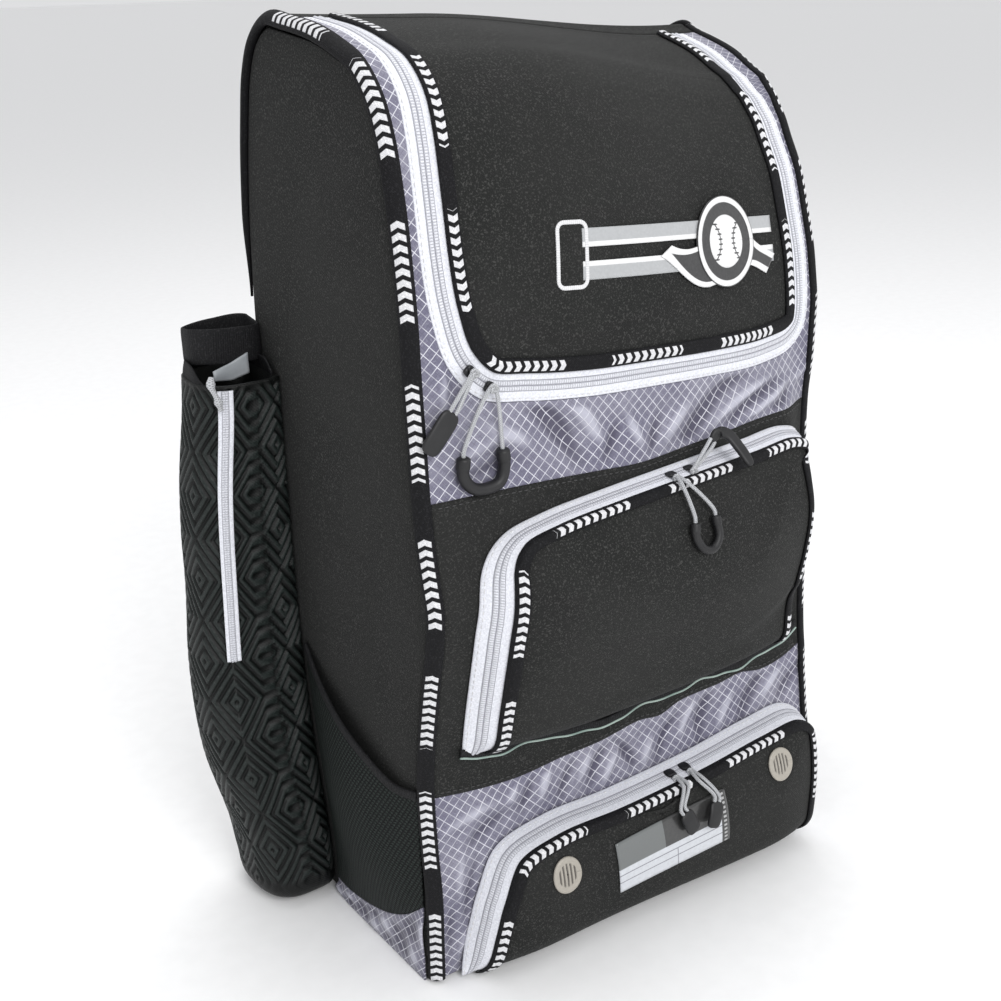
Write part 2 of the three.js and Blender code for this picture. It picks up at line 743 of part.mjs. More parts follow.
// Loop above the sleeve that holds the bat's handle, and a tab below its lower edge.
const loop = { level: 0.668, tall: 24, thick: 2.2, out: 50, front: 0.5, back: 0.67 };

function batStrap(name, sign) {
  const level = loop.level * bag.height;
  const middle = ((loop.front + loop.back) / 2) * bag.depth;
  const reach = ((loop.back - loop.front) / 2) * bag.depth;
  const spots = [];
  const count = 16;
  for (let step = 0; step < count; step += 1) {
    const angle = ((step + 0.5) / count) * 2 * Math.PI;
    const round = (value) => Math.sign(value) * Math.abs(value) ** 0.7;
    const y = middle - reach * round(Math.sin(angle));
    const x = half + (loop.out / 2) * (1 + round(Math.cos(angle)));
    const least = half + sideOut(y, level) + loop.thick / 2 + lay;
    spots.push(new THREE.Vector3(sign * Math.max(x, least), y, level));
  }
  const up = new THREE.Vector3(0, 0, 1);
  bar(name, "webbing", spots, flatSection(loop.tall, loop.thick), () => up, true);
}

// corners lists how far each stands off the side, how far its upper end lies below the strap's
// middle, and how tall the tab is there.
function strapTab(name, sign) {
  const level = loop.level * bag.height;
  const y = loop.front * bag.depth - loop.thick / 2 - gap;
  const corners = [[16, 6, 14], [29, 11, 12], [42, 14.5, 7]];
  const face = (off) => (row, column) => {
    const [out, below, tall] = corners[column];
    return new THREE.Vector3(sign * (half + out), y - off, level - below - tall * row);
  };
  sheet(name, "label", 1, 2, face(1.2), face(0));
}

function sleevePull(name, sign) {
  const level = 0.636 * bag.height;
  const at = (angle, up, off) => sleevePoint(sign, level, angle, off).setZ(level + up);
  const spots = [at(0.85, 8, 5), at(0.85, 3, 7), at(0.95, -6, 7), at(1, -14, 6)];
  bar(name, "cord", spots, roundSection(3, 6), () => new THREE.Vector3(1, 0, 0));
}

// Mesh pocket and the ripstop boot below it, between the front seam and the sleeve.
function beside(sign, share, z, off) {
  const front = (profile[0].back + 0.04) * bag.depth;
  const back = readTable(sleeveRows, "up", "front", z / bag.height) * bag.depth - 3;
  return sidePoint(sign, mix(front, back, share), z, off);
}

function meshPocket(name, sign) {
  const rows = 6;
  const columns = 8;
  const face = (off) => (row, column) => {
    const across = column / columns;
    const low = readTable(meshRows, "across", "low", across) * bag.height;
    const high = readTable(meshRows, "across", "high", across) * bag.height;
    const share = row / rows;
    const swell = mesh.swell * Math.sin(Math.PI * share) + mesh.lip * share;
    return beside(sign, across, mix(low, high, share), swell * Math.sin(Math.PI * across) + off);
  };
  sheet(name, "mesh", rows, columns, face(lay + mesh.thick), face(lay));
}

function sideBoot(name, sign) {
  const columns = 8;
  const face = (off) => (row, column) => {
    const across = column / columns;
    const top = readTable(meshRows, "across", "low", across) * bag.height - gap;
    return beside(sign, across, mix(0.5, top, row / 2), off);
  };
  sheet(name, "ripstop", 2, columns, face(lay + boot.thick), face(lay));
}

for (const [side, sign] of [["left", -1], ["right", 1]]) {
  sidePanel(`side_panel_${side}`, sign);
  sidePiping(`piping_${side}`, sign);
  batSleeve(`bat_sleeve_${side}`, sign);
  sleeveZipper(`sleeve_zipper_${side}`, sign);
  batStrap(`bat_strap_${side}`, sign);
  strapTab(`strap_tab_${side}`, sign);
  sleevePull(`sleeve_pull_${side}`, sign);
  meshPocket(`mesh_pocket_${side}`, sign);
  sideBoot(`side_boot_${side}`, sign);
}

// The floor of the bag: a flat sheet with rounded corners.
function basePanel() {
  const front = profile[0].back * bag.depth + 1;
  const back = profile[profile.length - 1].back * bag.depth - 1;
  const wide = frontHalf - gap;
  const corner = 14;
  const shape = new THREE.Shape();
  shape.moveTo(-wide + corner, front);
  shape.lineTo(wide - corner, front);
  shape.quadraticCurveTo(wide, front, wide, front + corner);
  shape.lineTo(wide, back - corner);
  shape.quadraticCurveTo(wide, back, wide - corner, back);
  shape.lineTo(-wide + corner, back);
  shape.quadraticCurveTo(-wide, back, -wide, back - corner);
  shape.lineTo(-wide, front + corner);
  shape.quadraticCurveTo(-wide, front, -wide + corner, front);
  const solid = new THREE.ExtrudeGeometry(shape, { depth: baseThick, bevelEnabled: false, curveSegments: 4 });
  const place = solid.attributes.position;
  const points = [];
  for (let index = 0; index < place.count; index += 1) {
    points.push(new THREE.Vector3().fromBufferAttribute(place, index));
  }
  addMesh("base_panel", "cloth", points, points.map((_, index) => index));
}
basePanel();

// Zipper pulls: a slider seated on the tape, a cord over it and a rubber end below.
const slider = { long: 8, from: 5, to: 12, thick: 2.8 };
const pullCord = { radius: 1.3, apart: 2.2 };
const across = new THREE.Vector3(1, 0, 0);
const outwards = new THREE.Vector3(0, -1, 0.02);

// A spot between two points of an outline.
function between(path, place) {
  const low = Math.floor(place);
  const spot = {};
  for (const key of ["x", "along", "inX", "inAlong", "narrow"]) {
    spot[key] = mix(path[low][key], path[low + 1][key], place - low);
  }
  return spot;
}

function spline(knots, steps) {
  return new THREE.CatmullRomCurve3(knots, false, "centripetal").getSpacedPoints(steps);
}

// end lists how far right of and above the zipper each point lies, and how far it stands off
// the surface; loop says that both ends of it are on the cord, and over that the cord goes over
// the binding.
function pull(name, zipper, spec) {
  const next = zipper.path.findIndex((spot) => spot.x >= spec.x);
  const [from, to] = [zipper.path[next - 1], zipper.path[next]];
  const place = next - 1 + (spec.x - from.x) / (to.x - from.x);
  const reach = slider.long / 2 / Math.hypot(to.x - from.x, to.along - from.along);
  const low = zipper.tapeTop + gap;
  const bands = [slider.from, slider.to].map((deep) => ({ deep, low, high: low + slider.thick }));
  const short = [place - reach, place, place + reach].map((spot) => between(zipper.path, spot));
  strip(`${name}_slider`, "rubber", short, bands, zipper.rise);

  const held = (deep, aside, off) => {
    const spot = inset(short[1], deep);
    return lift(spot.x + aside, spot.along, zipper.rise(deep, spot.along) + off);
  };
  const root = lift(short[1].x, short[1].along, 0);
  const end = spec.end.map(([right, up, off]) => {
    const along = alongFront(root.z + up);
    return lift(spec.x + right, along, spec.top(spec.x + right, along) + off);
  });
  const last = end.length - 1;
  const tips = spec.loop ? [[end[0], end[1]], [end[last], end[last - 1]]] : [[end[0], end[1]], [end[0], end[1]]];
  const strands = tips.map(([tip, inner], side) => {
    const away = tip.clone().sub(inner).normalize();
    const aside = (side ? 1 : -1) * pullCord.apart;
    const beside = across.clone().addScaledVector(away, -across.dot(away)).normalize();
    const start = tip.clone().addScaledVector(beside, spec.loop ? 0 : aside);
    const strand = [start.clone().addScaledVector(away, 2 * gap), start.clone().addScaledVector(away, 3.5)];
    if (spec.over) {
      const over = lay + cloth + 2 * gap + binding.thick + pullCord.radius + 5 * gap;
      strand.push(held(tapeWidth, aside, over));
    }
    return strand;
  });
  const apex = held(mix(slider.from, slider.to, 0.7), 0, low + slider.thick + (spec.over ? 5 : 2) * gap + pullCord.radius);
  const knots = [...strands[0], apex, ...strands[1].reverse()];
  bar(`${name}_cord`, "cord", spline(knots, 12), roundSection(pullCord.radius, 4), () => outwards);
  const section = spec.loop ? roundSection(2.8, 6) : flatSection(spec.wide, 4);
  bar(`${name}_end`, "rubber", spline(end, 8), section, () => (spec.loop ? outwards : across));
}

const flapZip = { path: flapPath, rise: flat, tapeTop: coil };
pull("flap_pull_a", flapZip, {
  x: -141,
  top: flat,
  wide: 11,
  end: [[-10, -14, 6], [-15, -26, 6], [-19, -38, 5]],
});
pull("flap_pull_b", flapZip, {
  x: -126,
  top: flat,
  loop: true,
  end: [
    [-17, -31, 5],
    [-17, -44, 4],
    [-11, -52, 4],
    [-2, -54, 4],
    [7, -52, 4],
    [11, -44, 4],
    [10, -31, 5],
  ],
});
pull("middle_pull_a", midZip, {
  x: 8,
  top: midZip.top,
  loop: true,
  over: true,
  end: [[2, -36, 5], [1, -45, 4], [6, -51, 4], [14, -52, 4], [20, -48, 4], [20, -35, 5]],
});
pull("middle_pull_b", midZip, {
  x: 24,
  top: flat,
  wide: 6,
  end: [[14, 13, 19], [19, 18, 19], [26, 16, 21], [31, 6, 27], [33, -6, 35]],
});
pull("shoe_pull_a", shoeZip, {
  x: 20,
  top: shoeZip.top,
  over: true,
  wide: 9,
  end: [[-6, -23.5, 6.5], [-3, -29.5, 6], [1, -35.5, 6]],
});
pull("shoe_pull_b", shoeZip, {
  x: 33,
  top: shoeZip.top,
  over: true,
  wide: 9,
  end: [[9, -25.5, 6.5], [6, -31.5, 6], [2, -37.5, 6]],
});

// Plain back: two padded shoulder straps with webbing below, and a haul loop.
const strap = { across: 0.32, wide: 58, thick: 9 };

function shoulderStrap(name, sign) {
  const rows = [[0.93, 5.4], [0.87, 18], [0.76, 34], [0.62, 40], [0.48, 34], [0.37, 22], [0.31, 15]];
  const spots = rows.map(([up, off], index) => {
    const x = sign * half * (strap.across + 0.02 * index);
    return lift(x, alongBack(up * bag.height), off);
  });
  bar(name, "cloth", spline(spots, 10), flatSection(strap.wide, strap.thick), () => across);
}

function strapWebbing(name, sign) {
  const rows = [[0.33, 0.44, 10.4], [0.31, 0.44, 8.2], [0.22, 0.52, 5], [0.12, 0.62, 2.5], [0.06, 0.68, 1.4]];
  const spots = rows.map(([up, x, off]) => lift(sign * half * x, alongBack(up * bag.height), off));
  bar(name, "webbing", spline(spots, 6), flatSection(25, 2), () => across);
}

function haulLoop(name) {
  const rows = [[-20, 0.6], [-23, 12], [-14, 22], [0, 25], [14, 22], [23, 12], [20, 0.6]];
  const level = alongBack(0.945 * bag.height);
  const along = lift(0, level + 5, 0).sub(lift(0, level - 5, 0)).normalize();
  const spots = rows.map(([x, off]) => lift(x, level, off));
  bar(name, "webbing", spline(spots, 9), flatSection(24, 2.4), () => along);
}

for (const [side, sign] of [["left", -1], ["right", 1]]) {
  shoulderStrap(`shoulder_strap_${side}`, sign);
  strapWebbing(`strap_webbing_${side}`, sign);
}
haulLoop("haul_loop");

export default group;
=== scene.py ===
"""Looks of a baseball bat backpack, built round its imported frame.

Shapes are worked out in millimetres in the frame's own axes: the bag stands on the floor at
z = 0, its front faces -Y, and left and right are the viewer's. Meshes are stored in metres.
"""

import math

import bpy
import numpy as np
from mathutils import Matrix


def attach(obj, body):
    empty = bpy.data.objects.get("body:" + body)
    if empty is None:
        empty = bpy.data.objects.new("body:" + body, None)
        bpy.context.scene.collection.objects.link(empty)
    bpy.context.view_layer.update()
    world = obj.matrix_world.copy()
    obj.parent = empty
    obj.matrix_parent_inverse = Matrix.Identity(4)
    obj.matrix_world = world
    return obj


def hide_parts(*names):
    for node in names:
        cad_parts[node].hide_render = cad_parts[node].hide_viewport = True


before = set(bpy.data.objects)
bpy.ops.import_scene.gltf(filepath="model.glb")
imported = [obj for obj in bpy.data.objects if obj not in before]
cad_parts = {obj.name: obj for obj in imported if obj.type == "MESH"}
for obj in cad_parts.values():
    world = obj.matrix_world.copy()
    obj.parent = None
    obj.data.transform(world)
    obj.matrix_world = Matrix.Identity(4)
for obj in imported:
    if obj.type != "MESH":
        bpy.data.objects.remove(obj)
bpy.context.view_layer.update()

MM = 0.001
RIGHTWARD, UPWARD, OUTWARD = (1.0, 0.0, 0.0), (0.0, 0.0, 1.0), (0.0, -1.0, 0.02)

# Sizes
WIDTH, HEIGHT, DEPTH = 340.0, 624.0, 200.0
HALF = WIDTH / 2
GAP = 0.3
LAY = 0.7
CLOTH = 2.4
SIDE_WALL = 3.0
BACK_PAD = 6.0
PIPING_RADIUS = 4.6
PIPING_OUT = 1.0
PIPING_SUNK = 2.0
PIPING_WIDE, PIPING_THICK, PIPING_CENTRE = 11.6, 6.4, 7.2
FRONT_HALF = HALF - PIPING_OUT - PIPING_RADIUS - GAP
BASE_THICK = 3.0
TAPE_WIDTH = 20.0
TAPE_THICK = 1.2
COIL = 0.8
BINDING_FROM, BINDING_WIDTH, BINDING_THICK = 17.5, 9.5, 2.6
SIDE_SWELL = 6.0
FOOT_FLARE = 3.0

# Side view of the body, from the lower front edge over the top to the lower back edge.
# Columns: depth and height as shares, then in millimetres how far the middle stands out (bow)
# and the right-hand edge has sunk (slump), and the share of half the width where that starts.
PROFILE = np.array([
    (-0.385, 0.0, 2, -11, -0.4),
    (-0.39, 0.048, 4, -14, -0.4),
    (-0.395, 0.112, 5, -14, -0.4),
    (-0.38, 0.176, 5, -12, -0.4),
    (-0.375, 0.24, 5, -9, -0.4),
    (-0.395, 0.296, 7, -1, -0.4),
    (-0.435, 0.362, 9, 8, 0.75),
    (-0.47, 0.413, 10, 17, 0.75),
    (-0.485, 0.455, 10, 22, 0.75),
    (-0.47, 0.484, 9, 19, 0.75),
    (-0.45, 0.521, 8, 17, 0.75),
    (-0.435, 0.569, 7, 14, 0.75),
    (-0.43, 0.609, 8, 10, 0.5),
    (-0.42, 0.679, 9, 7, 0.2),
    (-0.415, 0.737, 9, 12, -0.4),
    (-0.405, 0.777, 8, 17, -0.4),
    (-0.39, 0.822, 6, 22, -0.4),
    (-0.37, 0.861, 4, 30, -0.4),
    (-0.345, 0.897, 2, 36, -0.4),
    (-0.295, 0.933, 0, 39, -0.4),
    (-0.205, 0.962, -3, 39, -0.4),
    (-0.1, 0.976, -5, 36, -0.4),
    (0.02, 0.987, -6, 31, -0.4),
    (0.19, 0.995, -6, 25, -0.4),
    (0.32, 0.998, -4, 20, -0.4),
    (0.425, 0.978, -1, 14, -0.4),
    (0.49, 0.944, 1, 8, -0.4),
    (0.53, 0.897, 3, 4, -0.4),
    (0.56, 0.849, 4, 2, -0.4),
    (0.59, 0.769, 4, 0, -0.4),
    (0.615, 0.641, 5, 0, -0.4),
    (0.615, 0.481, 6, 0, -0.4),
    (0.6, 0.321, 6, 0, -0.4),
    (0.57, 0.16, 5, 0, -0.4),
    (0.53, 0.0, 2, 0, -0.4),
])

# Broad dents and swells: place across and up, reach and rise as shares, depth in millimetres.
CREASES = np.array([
    (-0.25, 0.6, 0.22, 0.03, -3),
    (0.45, 0.61, 0.16, 0.025, -2.4),
    (0.1, 0.8, 0.3, 0.2, 2.5),
    (-0.6, 0.19, 0.12, 0.03, 2),
    (0.3, 0.205, 0.18, 0.03, -2.2),
])

FLAP_BACK = 0.22

# Wavy lines across the front: x and height in millimetres.
LOW_LINE = np.array([
    (-170, 145), (-129, 138.8), (-97, 136.7), (-64, 138.8), (-29, 139.8), (5, 144.8), (24, 142.8),
    (42, 148.9), (80, 150.9), (101, 152.9), (122, 148.9), (144, 150.9), (170, 158.5),
])
HIGH_LINE = np.array([
    (-170, 352), (-116, 350.5), (-72, 348.5), (-41, 346.5), (-8, 344.4), (36, 347), (73, 349), (103, 351),
    (170, 351.5),
])
POCKET_FOOT_LINE = np.array([
    (-147, 171), (-117, 163), (-102, 166), (-85, 164), (-68, 159), (-51, 157), (-34, 154.9), (-16, 154.9),
    (0, 160), (18, 160), (37, 160), (56, 163), (76, 161), (96, 160), (117, 164), (139, 165), (158, 173),
])

# Outer edges of the three zippers from left to right: across and up as shares.
FLAP_EDGE = np.array([
    (-0.929, 0.886), (-0.935, 0.793), (-0.915, 0.737), (-0.859, 0.689), (-0.741, 0.655),
    (-0.559, 0.644), (-0.294, 0.635), (0.0, 0.63), (0.324, 0.625), (0.647, 0.622),
    (0.841, 0.628), (0.929, 0.647), (0.953, 0.689), (0.956, 0.793), (0.947, 0.886),
])
MIDDLE_EDGE = np.array([
    (-0.853, 0.272), (-0.85, 0.356), (-0.841, 0.436), (-0.794, 0.492), (-0.7, 0.517),
    (-0.524, 0.529), (-0.259, 0.536), (0.118, 0.542), (0.471, 0.546), (0.718, 0.548),
    (0.841, 0.535), (0.888, 0.494), (0.9, 0.401), (0.906, 0.276),
])
SHOE_EDGE = np.array([
    (-0.909, 0.007), (-0.85, 0.069), (-0.815, 0.101), (-0.718, 0.147), (-0.497, 0.163),
    (-0.176, 0.163), (0.235, 0.171), (0.588, 0.183), (0.824, 0.184), (0.935, 0.162),
    (0.959, 0.109), (0.959, 0.007),
])

# How a front pocket stands out: edge at its binding, middle more further in, reach how soon,
# foot how high the lower edge turns in, toe how far it stays out there, side and top the
# shares of the tape's width that are seen from the front.
MIDDLE_POCKET = dict(edge=13, middle=8, reach=70, foot=26, toe=0, side=0.9, top=0.35)
SHOE_POCKET = dict(edge=20, middle=9, reach=50, foot=30, toe=5, side=0.5, top=0.35)

# Bat sleeve: height as a share, how far it stands off the side panel in millimetres, and
# where its section starts and ends along Y as shares of the depth.
SLEEVE = np.array([
    (0.006, 44, 0.31, 0.61),
    (0.016, 54, 0.275, 0.64),
    (0.048, 58, 0.265, 0.66),
    (0.091, 61, 0.275, 0.675),
    (0.135, 66, 0.3, 0.685),
    (0.19, 73, 0.325, 0.69),
    (0.28, 76, 0.355, 0.69),
    (0.4, 72, 0.37, 0.69),
    (0.515, 67, 0.37, 0.69),
    (0.6, 59, 0.37, 0.685),
    (0.636, 57, 0.37, 0.68),
])
SLEEVE_TOP = SLEEVE[-1, 0] * HEIGHT
SLEEVE_WALL = 3.0
DIAMOND_HALF_WIDE, DIAMOND_HALF_TALL, DIAMOND_DEEP, DIAMOND_FROM = 21.0, 30.0, 1.9, 21.5
GUSSET_FROM, GUSSET_TALL, GUSSET_START, GUSSET_END = 0.63, 14.0, -3.7, 0.75
SLEEVE_TAPE_WIDTH, SLEEVE_COILS = 13.0, (5.2, 7.8)
TAPE_COILS = (8.3, 11.7)

# Mesh side pocket from the front seam to the sleeve: share across, lower and upper edge.
MESH_EDGE = np.array([
    (0.0, 0.096, 0.236),
    (0.16, 0.07, 0.233),
    (0.37, 0.048, 0.25),
    (0.6, 0.034, 0.272),
    (0.82, 0.027, 0.298),
    (1.0, 0.025, 0.325),
])
MESH_THICK, MESH_SWELL, MESH_LIP = 1.4, 11.0, 7.0
BOOT_THICK = 1.6

LOOP_LEVEL, LOOP_TALL, LOOP_THICK = 0.668, 24.0, 2.2
LOOP_OUT, LOOP_FRONT, LOOP_BACK = 50.0, 0.5, 0.67


# Lines and maps
def smooth(value):
    """Zero below 0, one above 1, and the cubic 3t^2 - 2t^3 between them."""
    share = np.clip(value, 0, 1)
    return share * share * (3 - 2 * share)


def mix(low, high, share):
    return low + (high - low) * share


def stacked(*parts):
    """Columns of points, each part spread to the same shape."""
    return np.stack(np.broadcast_arrays(*parts), axis=-1)


def rounded(angle, power):
    """Cosine and sine, each to the power given but keeping its sign: a squared circle."""
    return [np.sign(v) * np.abs(v) ** power for v in (np.cos(angle), np.sin(angle))]


def spline(knots, count):
    """Centripetal Catmull-Rom curve: between two knots a cubic whose end slopes come from the
    knots around them, each weighted by the square root of its distance. Returns count + 1
    points equally far apart along the curve."""
    knots = np.asarray(knots, float)
    padded = np.vstack([2 * knots[0] - knots[1], knots, 2 * knots[-1] - knots[-2]])
    p0, p1, p2, p3 = padded[:-3], padded[1:-2], padded[2:-1], padded[3:]
    pairs = ((p0, p1), (p1, p2), (p2, p3))
    d0, d1, d2 = (np.sqrt(np.linalg.norm(b - a, axis=1))[:, None] for a, b in pairs)
    slope1 = ((p1 - p0) / d0 - (p2 - p0) / (d0 + d1) + (p2 - p1) / d1) * d1
    slope2 = ((p2 - p1) / d1 - (p3 - p1) / (d1 + d2) + (p3 - p2) / d2) * d1
    t = np.linspace(0, 1, 24, endpoint=False)[None, :, None]
    a, b, c, d = (v[:, None, :] for v in (p1, p2, slope1, slope2))
    dense = (
        (2 * t**3 - 3 * t**2 + 1) * a
        + (3 * t**2 - 2 * t**3) * b
        + (t**3 - 2 * t**2 + t) * c
        + (t**3 - t**2) * d
    ).reshape(-1, knots.shape[1])
    dense = np.vstack([dense, knots[-1]])
    run = np.concatenate([[0], np.cumsum(np.linalg.norm(np.diff(dense, axis=0), axis=1))])
    wanted = np.linspace(0, run[-1], count + 1)
    return np.stack([np.interp(wanted, run, column) for column in dense.T], axis=1)


def trace_profile():
    """The side view every millimetre: its place, and its bow, slump and start averaged over
    25 mm so that the cloth has no kinks."""
    line = spline(PROFILE[:, :2] * (DEPTH, HEIGHT), 1400)
    run = np.concatenate([[0], np.cumsum(np.linalg.norm(np.diff(line, axis=0), axis=1))])
    nearest = np.linalg.norm(line[:, None] - PROFILE[None, :, :2] * (DEPTH, HEIGHT), axis=2).argmin(0)
    columns = [np.interp(run, run[nearest], column) for column in PROFILE[:, 2:].T]
    window = np.hanning(27)
    window /= window.sum()
    eased = [np.convolve(np.pad(column, 13, mode="edge"), window, mode="valid") for column in columns]
    return run, line[:, 0], line[:, 1], eased


RUN, RUN_Y, RUN_Z, (RUN_BOW, RUN_SLUMP, RUN_FROM) = trace_profile()


def along_front(height):
    """Distance along the side view to a height on the front."""
    rising = slice(0, int(np.argmax(RUN_Z)))
    return np.interp(height, RUN_Z[rising], RUN[rising])


def along_top(depth):
    """Distance along the side view to a depth on the top."""
    top = (RUN_Z > 0.9 * HEIGHT) & (RUN_Y < 0.45 * DEPTH)
    return np.interp(depth, RUN_Y[top], RUN[top])


def along_back(height):
    """Distance along the side view to a height on the back."""
    back = np.flatnonzero(RUN_Y > 0.42 * DEPTH)[::-1]
    return np.interp(height, RUN_Z[back], RUN[back])


def lift(x, along, off=0.0):
    """Point of the front, top or back cloth: the side view's point moved along its normal by
    off, plus the bow (a parabola over the width), less the slump (a smooth step towards the
    right), plus a Gaussian bump for each crease."""
    x, along, off = np.broadcast_arrays(*(np.asarray(v, float) for v in (x, along, off)))
    ahead_y = np.interp(along + 4, RUN, RUN_Y) - np.interp(along - 4, RUN, RUN_Y)
    ahead_z = np.interp(along + 4, RUN, RUN_Z) - np.interp(along - 4, RUN, RUN_Z)
    length = np.hypot(ahead_y, ahead_z)
    inside = 1 - np.minimum(1, (x / FRONT_HALF) ** 2)
    start = np.interp(along, RUN, RUN_FROM)
    total = off + np.interp(along, RUN, RUN_BOW) * inside
    total = total - np.interp(along, RUN, RUN_SLUMP) * smooth((x / HALF - start) / (1 - start))
    for across, up, reach, rise, deep in CREASES:
        far = ((x - across * HALF) / (reach * WIDTH)) ** 2
        far = far + ((along - along_front(up * HEIGHT)) / (rise * WIDTH)) ** 2
        total = total + deep * np.exp(-far) * inside
    y = np.interp(along, RUN, RUN_Y) - ahead_z / length * total
    z = np.interp(along, RUN, RUN_Z) + ahead_y / length * total
    return np.stack([x, y, z], axis=-1)


def folds(x, along, rows):
    """Sum of long soft ridges: each a Gaussian across its direction times one along it.
    Columns: x, height on the front, direction in degrees, half length, half width, height."""
    total = np.zeros(np.broadcast(x, along).shape)
    for at, up, turn, length, width, high in rows:
        c, s = math.cos(math.radians(turn)), math.sin(math.radians(turn))
        right, rise = x - at, along - along_front(up)
        bend = 0.004 * (c * right + s * rise) ** 2
        run = (c * right + s * rise) / length
        across = (c * rise - s * right + bend) / width
        total = total + high * np.exp(-(run**2)) * np.exp(-(across**2))
    return total


# Meshes
def quads(index):
    """Faces between neighbours of a two-way table of vertex numbers."""
    corners = [index[:-1, :-1], index[:-1, 1:], index[1:, 1:], index[1:, :-1]]
    return np.stack(corners, axis=-1).reshape(-1, 4)


def wrapped(index):
    return np.concatenate([index, index[:, :1]], axis=1)


def add_piece(name, points, faces, lay, material, nodes=(), middle=None):
    """One mesh from points in millimetres and faces of three or four corners. Faces are turned
    outwards: by the volume they enclose, or for an open sheet away from the point middle.
    lay holds each point's place on the cloth in millimetres, for patterns, and can have a
    third value for how far a fold or pad stands out."""
    flat = [np.asarray(part) for part in faces]
    halves = [part[:, [0, 2, 3]] for part in flat if part.shape[1] == 4]
    corners = np.concatenate([part[:, :3] for part in flat] + halves)
    a, b, c = (points[corners[:, k]] for k in range(3))
    if middle is None:
        facing = np.einsum("ij,ij->", a, np.cross(b, c))
    else:
        facing = np.einsum("ij,ij->", np.cross(b - a, c - a), (a + b + c) / 3 - np.asarray(middle))
    if facing < 0:
        flat = [part[:, ::-1] for part in flat]
    mesh = bpy.data.meshes.new(name)
    mesh.from_pydata((points * MM).tolist(), [], [face for part in flat for face in part.tolist()])
    mesh.polygons.foreach_set("use_smooth", np.ones(len(mesh.polygons), bool))
    place = mesh.attributes.new("lay", "FLOAT_VECTOR", "POINT")
    full = np.zeros((len(points), 3), np.float32)
    full[:, : lay.shape[1]] = lay
    place.data.foreach_set("vector", full.ravel())
    mesh.materials.append(material)
    piece = bpy.data.objects.new(name, mesh)
    bpy.context.scene.collection.objects.link(piece)
    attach(piece, "root")
    if nodes:
        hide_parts(*nodes)
    return piece


def thicken(piece, thick):
    """Gives an open sheet its wall, inwards from the face that shows."""
    wall = piece.modifiers.new("wall", "SOLIDIFY")
    wall.thickness = thick * MM
    wall.offset = -1
    return piece


def add_sheet(name, points, lay, material, nodes, middle, thick):
    """A cloth sheet from a grid of points, with its wall."""
    rows, columns = points.shape[:2]
    index = np.arange(rows * columns).reshape(rows, columns)
    spots = lay.reshape(-1, lay.shape[-1])
    piece = add_piece(name, points.reshape(-1, 3), [quads(index)], spots, material, nodes, middle)
    return thicken(piece, thick)


def add_tube(name, rings, lay, material, nodes=(), closed=False):
    """A closed skin from a row of rings, with a fan of faces over each end."""
    count, sides = rings.shape[:2]
    index = np.arange(count * sides).reshape(count, sides)
    points = rings.reshape(-1, 3)
    table = np.vstack([index, index[:1]]) if closed else index
    faces = [quads(wrapped(table))]
    spots = lay.reshape(-1, lay.shape[-1])
    if not closed:
        ends = rings[[0, -1]].mean(axis=1)
        points = np.vstack([points, ends])
        spots = np.vstack([spots, lay[[0, -1]].mean(axis=1)])
        for end, ring, turn in ((0, index[0], 1), (1, index[-1], -1)):
            centre = np.full(sides, count * sides + end)
            faces.append(np.stack([centre, np.roll(ring, -1), ring], axis=1)[:, ::turn])
    return add_piece(name, points, faces, spots, material, nodes)


def sweep(path, section, first, closed=False):
    """Rings of a section carried along a path: at each point the section's first axis is
    `first` made square to the path, and its second is square to both."""
    ahead = np.gradient(path, axis=0)
    if closed:
        ahead = np.roll(path, -1, axis=0) - np.roll(path, 1, axis=0)
    ahead /= np.linalg.norm(ahead, axis=1)[:, None]
    first = np.broadcast_to(first, path.shape)
    first = first - ahead * np.einsum("ij,ij->i", first, ahead)[:, None]
    first = first / np.linalg.norm(first, axis=1)[:, None]
    second = np.cross(ahead, first)
    section = np.asarray(section)
    return path[:, None] + first[:, None] * section[None, :, :1] + second[:, None] * section[None, :, 1:]


def scaled(path, rings, scale):
    """Rings drawn in or swollen about their path."""
    return path[:, None] + (rings - path[:, None]) * scale[:, None, None]


def lengths(path):
    """Distance along a row of points."""
    return np.concatenate([[0], np.cumsum(np.linalg.norm(np.diff(path, axis=0), axis=1))])


def ring_lay(path, section):
    """Place on a swept piece: the distance along it and around its section."""
    section = np.asarray(section)
    around = np.concatenate([[0], np.cumsum(np.linalg.norm(np.diff(section, axis=0), axis=1))])
    return stacked(lengths(path)[:, None], around[None])


def carry(name, path, section, first, material, nodes=(), closed=False):
    """A piece made by carrying a section along a path."""
    rings = sweep(path, section, first, closed)
    return add_tube(name, rings, ring_lay(path, section), material, nodes, closed)


def round_section(radius, sides=12):
    angle = np.linspace(0, 2 * np.pi, sides, endpoint=False)
    return np.stack([radius * np.cos(angle), radius * np.sin(angle)], axis=1)


def flat_section(width, thick, sides=24, power=0.35):
    """A flat strip's section with rounded edges: a superellipse, x and y each the given power
    of the cosine and sine."""
    angle = np.linspace(0, 2 * np.pi, sides, endpoint=False) + np.pi / sides
    return np.stack([width / 2 * rounded(angle, power)[0], thick / 2 * rounded(angle, 0.7)[1]], axis=1)


# Outlines of the front
X, ALONG, IN_X, IN_ALONG, NARROW = range(5)


